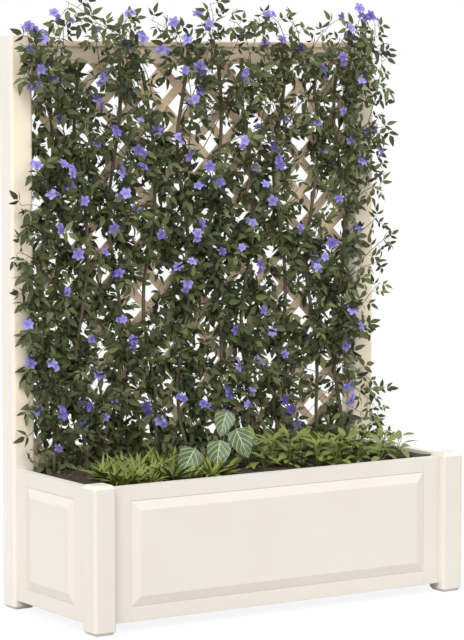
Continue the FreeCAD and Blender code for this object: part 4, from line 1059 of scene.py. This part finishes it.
def low_plants(tuft_material, cover_material, veined_material):
    draw = random.Random(7).uniform
    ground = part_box("potting_soil")[1].z + PLANT_LIFT
    tree = bed_tree()
    tufts = [tuft(count, *TUFT_LEAF, draw) for count in TUFT_COUNTS]
    patch = bed("tuft_leaves", 0.035, ground, more_left=-0.075, more_right=0.05)
    piece = grown("narrow_tufts", tree, patch, tufts, Spacing=0.036, Density=1100.0, Seed=41,
                  Least_Size=0.7, Most_Size=1.1, Skin=tuft_material)
    settle(piece, "tuft_leaf", "tuft_leaves")
    clumps = [leafy_clump(count, *CLUMP_LEAF, draw) for count in CLUMP_COUNTS]
    patch = bed("groundcover_leaves", 0.022, ground, more_left=0.06)
    piece = grown("leafy_groundcover", tree, patch, clumps, Spacing=0.033, Density=900.0, Seed=43,
                  Least_Size=0.8, Most_Size=1.15, Skin=cover_material)
    settle(piece, "groundcover_leaf", "groundcover_leaves")
    settle(veined_plant(veined_material, draw), "veined_leaf", "veined_leaves", "veined_stalks")


# Middle, tip direction, facing and length of each broad leaf
VEINED_LEAVES = (
    ((-0.05, -0.02, 0.456), (-0.45, -0.3, -0.75), (-0.4, -0.7, 0.55), 0.07),
    ((-0.02, -0.06, 0.408), (0.15, -0.45, -0.8), (-0.45, -0.75, 0.45), 0.082),
    ((-0.108, -0.085, 0.388), (-0.35, -0.35, -0.8), (-0.45, -0.75, 0.45), 0.08),
    ((-0.19, -0.075, 0.376), (-0.6, -0.2, -0.7), (-0.3, -0.8, 0.45), 0.082),
    ((0.022, -0.04, 0.412), (0.65, -0.35, -0.55), (0.3, -0.8, 0.55), 0.062),
    ((-0.06, 0.06, 0.42), (0.2, 0.7, -0.2), (0.1, -0.45, 0.85), 0.064),
    ((0.02, 0.05, 0.41), (0.8, 0.35, -0.25), (0.2, -0.5, 0.8), 0.064),
)
VEINED_FOOT = (-0.070, -0.010)
VEINED_TONE = 0.2
VEINED_WIDTH_SHARE = 0.76
VEINED_STALK = 0.0022


def veined_plant(material, draw):
    """Broad, hanging leaves with white veins, on stalks that rise from one foot."""
    copies = []
    foot = Vector((*VEINED_FOOT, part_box("veined_stalks")[0].z))
    for middle, tip, facing, length in VEINED_LEAVES:
        along = Vector(tip).normalized()
        side = Vector(facing).cross(along).normalized()
        upward = along.cross(side)
        base = Vector(middle) - along * length / 2
        matrix = Matrix.Translation(base) @ Matrix((along, side, upward)).transposed().to_4x4()
        leaf = blade(length, length * VEINED_WIDTH_SHARE, BROAD, 10, 8, fold=0.2,
                     arch=draw(0.05, 0.2), ripple=0.10)
        copies.append((leaf, matrix))
        reach = base - foot
        stem = stalk(reach.length, VEINED_STALK, sides=6, rows=4)
        copies.append((stem, Matrix.Translation(foot) @ reach.to_track_quat("X", "Z").to_matrix().to_4x4()))
    mesh = joined("veined_plant", copies)
    tone = mesh.attributes.new("tone", "FLOAT", "POINT")
    for item in tone.data:
        item.value = VEINED_TONE
    return finished("veined_plant", mesh, material)


# Finishes on the solids that stay

def dress_solids(bark):
    """Gives each solid the finish of the first word that is in its name."""
    paints = {grain: brushed_paint(f"cream_paint_{grain}", CREAM, CREAM_SHADE, grain) for grain in "xyz"}
    # The lattice's warm beige is partly its own tone and partly painted foliage shade
    lattice = brushed_paint("lattice_paint", LATTICE_BEIGE_AND_SHADE, LATTICE_BROWN_AND_SHADE, "x")
    # The rails' warm tan is painted foliage shade over the cream paint
    rails = brushed_paint("trellis_rail_paint", RAIL_PAINTED_SHADE_PALE, RAIL_PAINTED_SHADE_DEEP, "x")
    # Tall posts: lighter cream as painted light, with painted warm foliage shade on their fronts
    tall_posts = brushed_paint("tall_post_paint", TALL_CREAM_PAINTED_LIGHT, CREAM, "z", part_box("post_rear_left")[0].y)
    pine = sawn_pine("bare_pine")
    steel = grainy("plated_steel", 900.0, SCREW_GREY, SCREW_DULL, 0.3, 0.0002, 0.3, metallic=1.0)
    liner = grainy("liner_film", 700.0, LINER_BLACK, LINER_WORN, 0.5, 0.0003, 0.4)
    finishes = (
        ("lattice", lattice), ("trellis", rails), ("floor", pine), ("screws", steel), ("liner", liner),
        ("climber_stems", bark), ("post_rear", tall_posts), ("post", paints["z"]), ("stile", paints["z"]),
        ("left_end", paints["y"]), ("right_end", paints["y"]), ("", paints["x"]),
    )
    for node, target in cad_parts.items():
        target.data.materials.clear()
        target.data.materials.append(next(finish for word, finish in finishes if word in node))


# Floor, light and camera

CAMERA_PLACE = (-3.828, -5.861, 1.359)
CAMERA_YAW = 33.07
CAMERA_PITCH = 5.27
CAMERA_LENS = 156.3
CAMERA_SENSOR = 36.0
CAMERA_FAR = 200.0
FLOOR_REACH = 40.0
FLOOR_WHITE_SHARE = 0.90
FLOOR_SEEN = (0.84, 0.84, 0.84)
FLOOR_BOUNCE = (0.50, 0.485, 0.46)
AMBIENT = 0.80
SUN_STRENGTH = 2.1
SUN_SPREAD = 34.0
SUN_FROM = (-0.85, -0.60, 1.15)
FILL_STRENGTH = 0.35
FILL_FROM = (0.5, -0.9, 0.5)


def seen_directly(nodes):
    """1 for rays from the camera, or through gloss or glass, and 0 for the rest."""
    path = nodes.add("ShaderNodeLightPath", (), (), "Is Camera Ray")
    return path.most(nodes.other(path, "Is Glossy Ray")).most(nodes.other(path, "Is Transmission Ray"))


def pale_floor():
    corners = [(x * FLOOR_REACH, y * FLOOR_REACH, 0) for x, y in ((-1, -1), (1, -1), (1, 1), (-1, 1))]
    floor = new_object("floor", new_mesh("floor", corners, [(0, 1, 2, 3)]))
    finish = Finish("pale_floor")
    seen = seen_directly(finish)
    finish.set(Base_Color=finish.mix(seen, FLOOR_BOUNCE, FLOOR_SEEN), Roughness=0.9)
    glow = finish.add("ShaderNodeEmission", (), {"Color": WHITE, "Strength": 1.0})
    blend = finish.add("ShaderNodeMixShader", (), {0: seen * FLOOR_WHITE_SHARE, 1: finish.light, 2: glow})
    finish.feed(finish.output.inputs["Surface"], blend)
    floor.data.materials.append(finish.material)


def studio():
    scene = bpy.context.scene
    scene.view_settings.view_transform = "Standard"
    world = bpy.data.worlds.new("studio")
    world.use_nodes = True
    scene.world = world
    nodes = Nodes(world.node_tree)
    nodes.tree.nodes.clear()
    strength = seen_directly(nodes) * (1 - AMBIENT) + AMBIENT
    sky = nodes.add("ShaderNodeBackground", (), {"Color": WHITE, "Strength": strength})
    nodes.add("ShaderNodeOutputWorld", (), {"Surface": sky})
    suns = (("key_sun", SUN_STRENGTH, SUN_FROM), ("fill_sun", FILL_STRENGTH, FILL_FROM))
    for name, energy, origin in suns:
        lamp = bpy.data.lights.new(name, "SUN")
        lamp.energy = energy
        lamp.angle = math.radians(SUN_SPREAD)
        new_object(name, lamp).rotation_euler = Vector(origin).to_track_quat("Z", "Y").to_euler()


def camera():
    lens = bpy.data.cameras.new("camera")
    lens.lens = CAMERA_LENS
    lens.sensor_width = lens.sensor_height = CAMERA_SENSOR
    lens.clip_end = CAMERA_FAR
    view = new_object("camera", lens)
    view.location = CAMERA_PLACE
    view.rotation_euler = (math.radians(90 - CAMERA_PITCH), 0, math.radians(-CAMERA_YAW))
    bpy.context.scene.camera = view


camera()
studio()
pale_floor()
bark = stem_bark("climber_bark")
dress_solids(bark)
earth = damp_soil("damp_soil")
settle(one_piece("soil", [soil_bed(), soil_crumbs(earth)], earth), "soil", "potting_soil")
climber_pieces(
    leaf_skin("climber_leaf", LEAF_DARK, LEAF_MID, LEAF_LIGHT, 0.42, LEAF_LIGHT, 0.5),
    petal_skin("petal"), bark)
low_plants(
    leaf_skin("tuft_leaf", TUFT_DARK, TUFT_LIGHT, TUFT_LIGHT, 0.4, TUFT_RIB, 0.6),
    leaf_skin("groundcover_leaf", COVER_DARK, COVER_LIGHT, COVER_LIGHT, 0.36, COVER_RIB, 0.8),
    veined_skin("veined_leaf"))
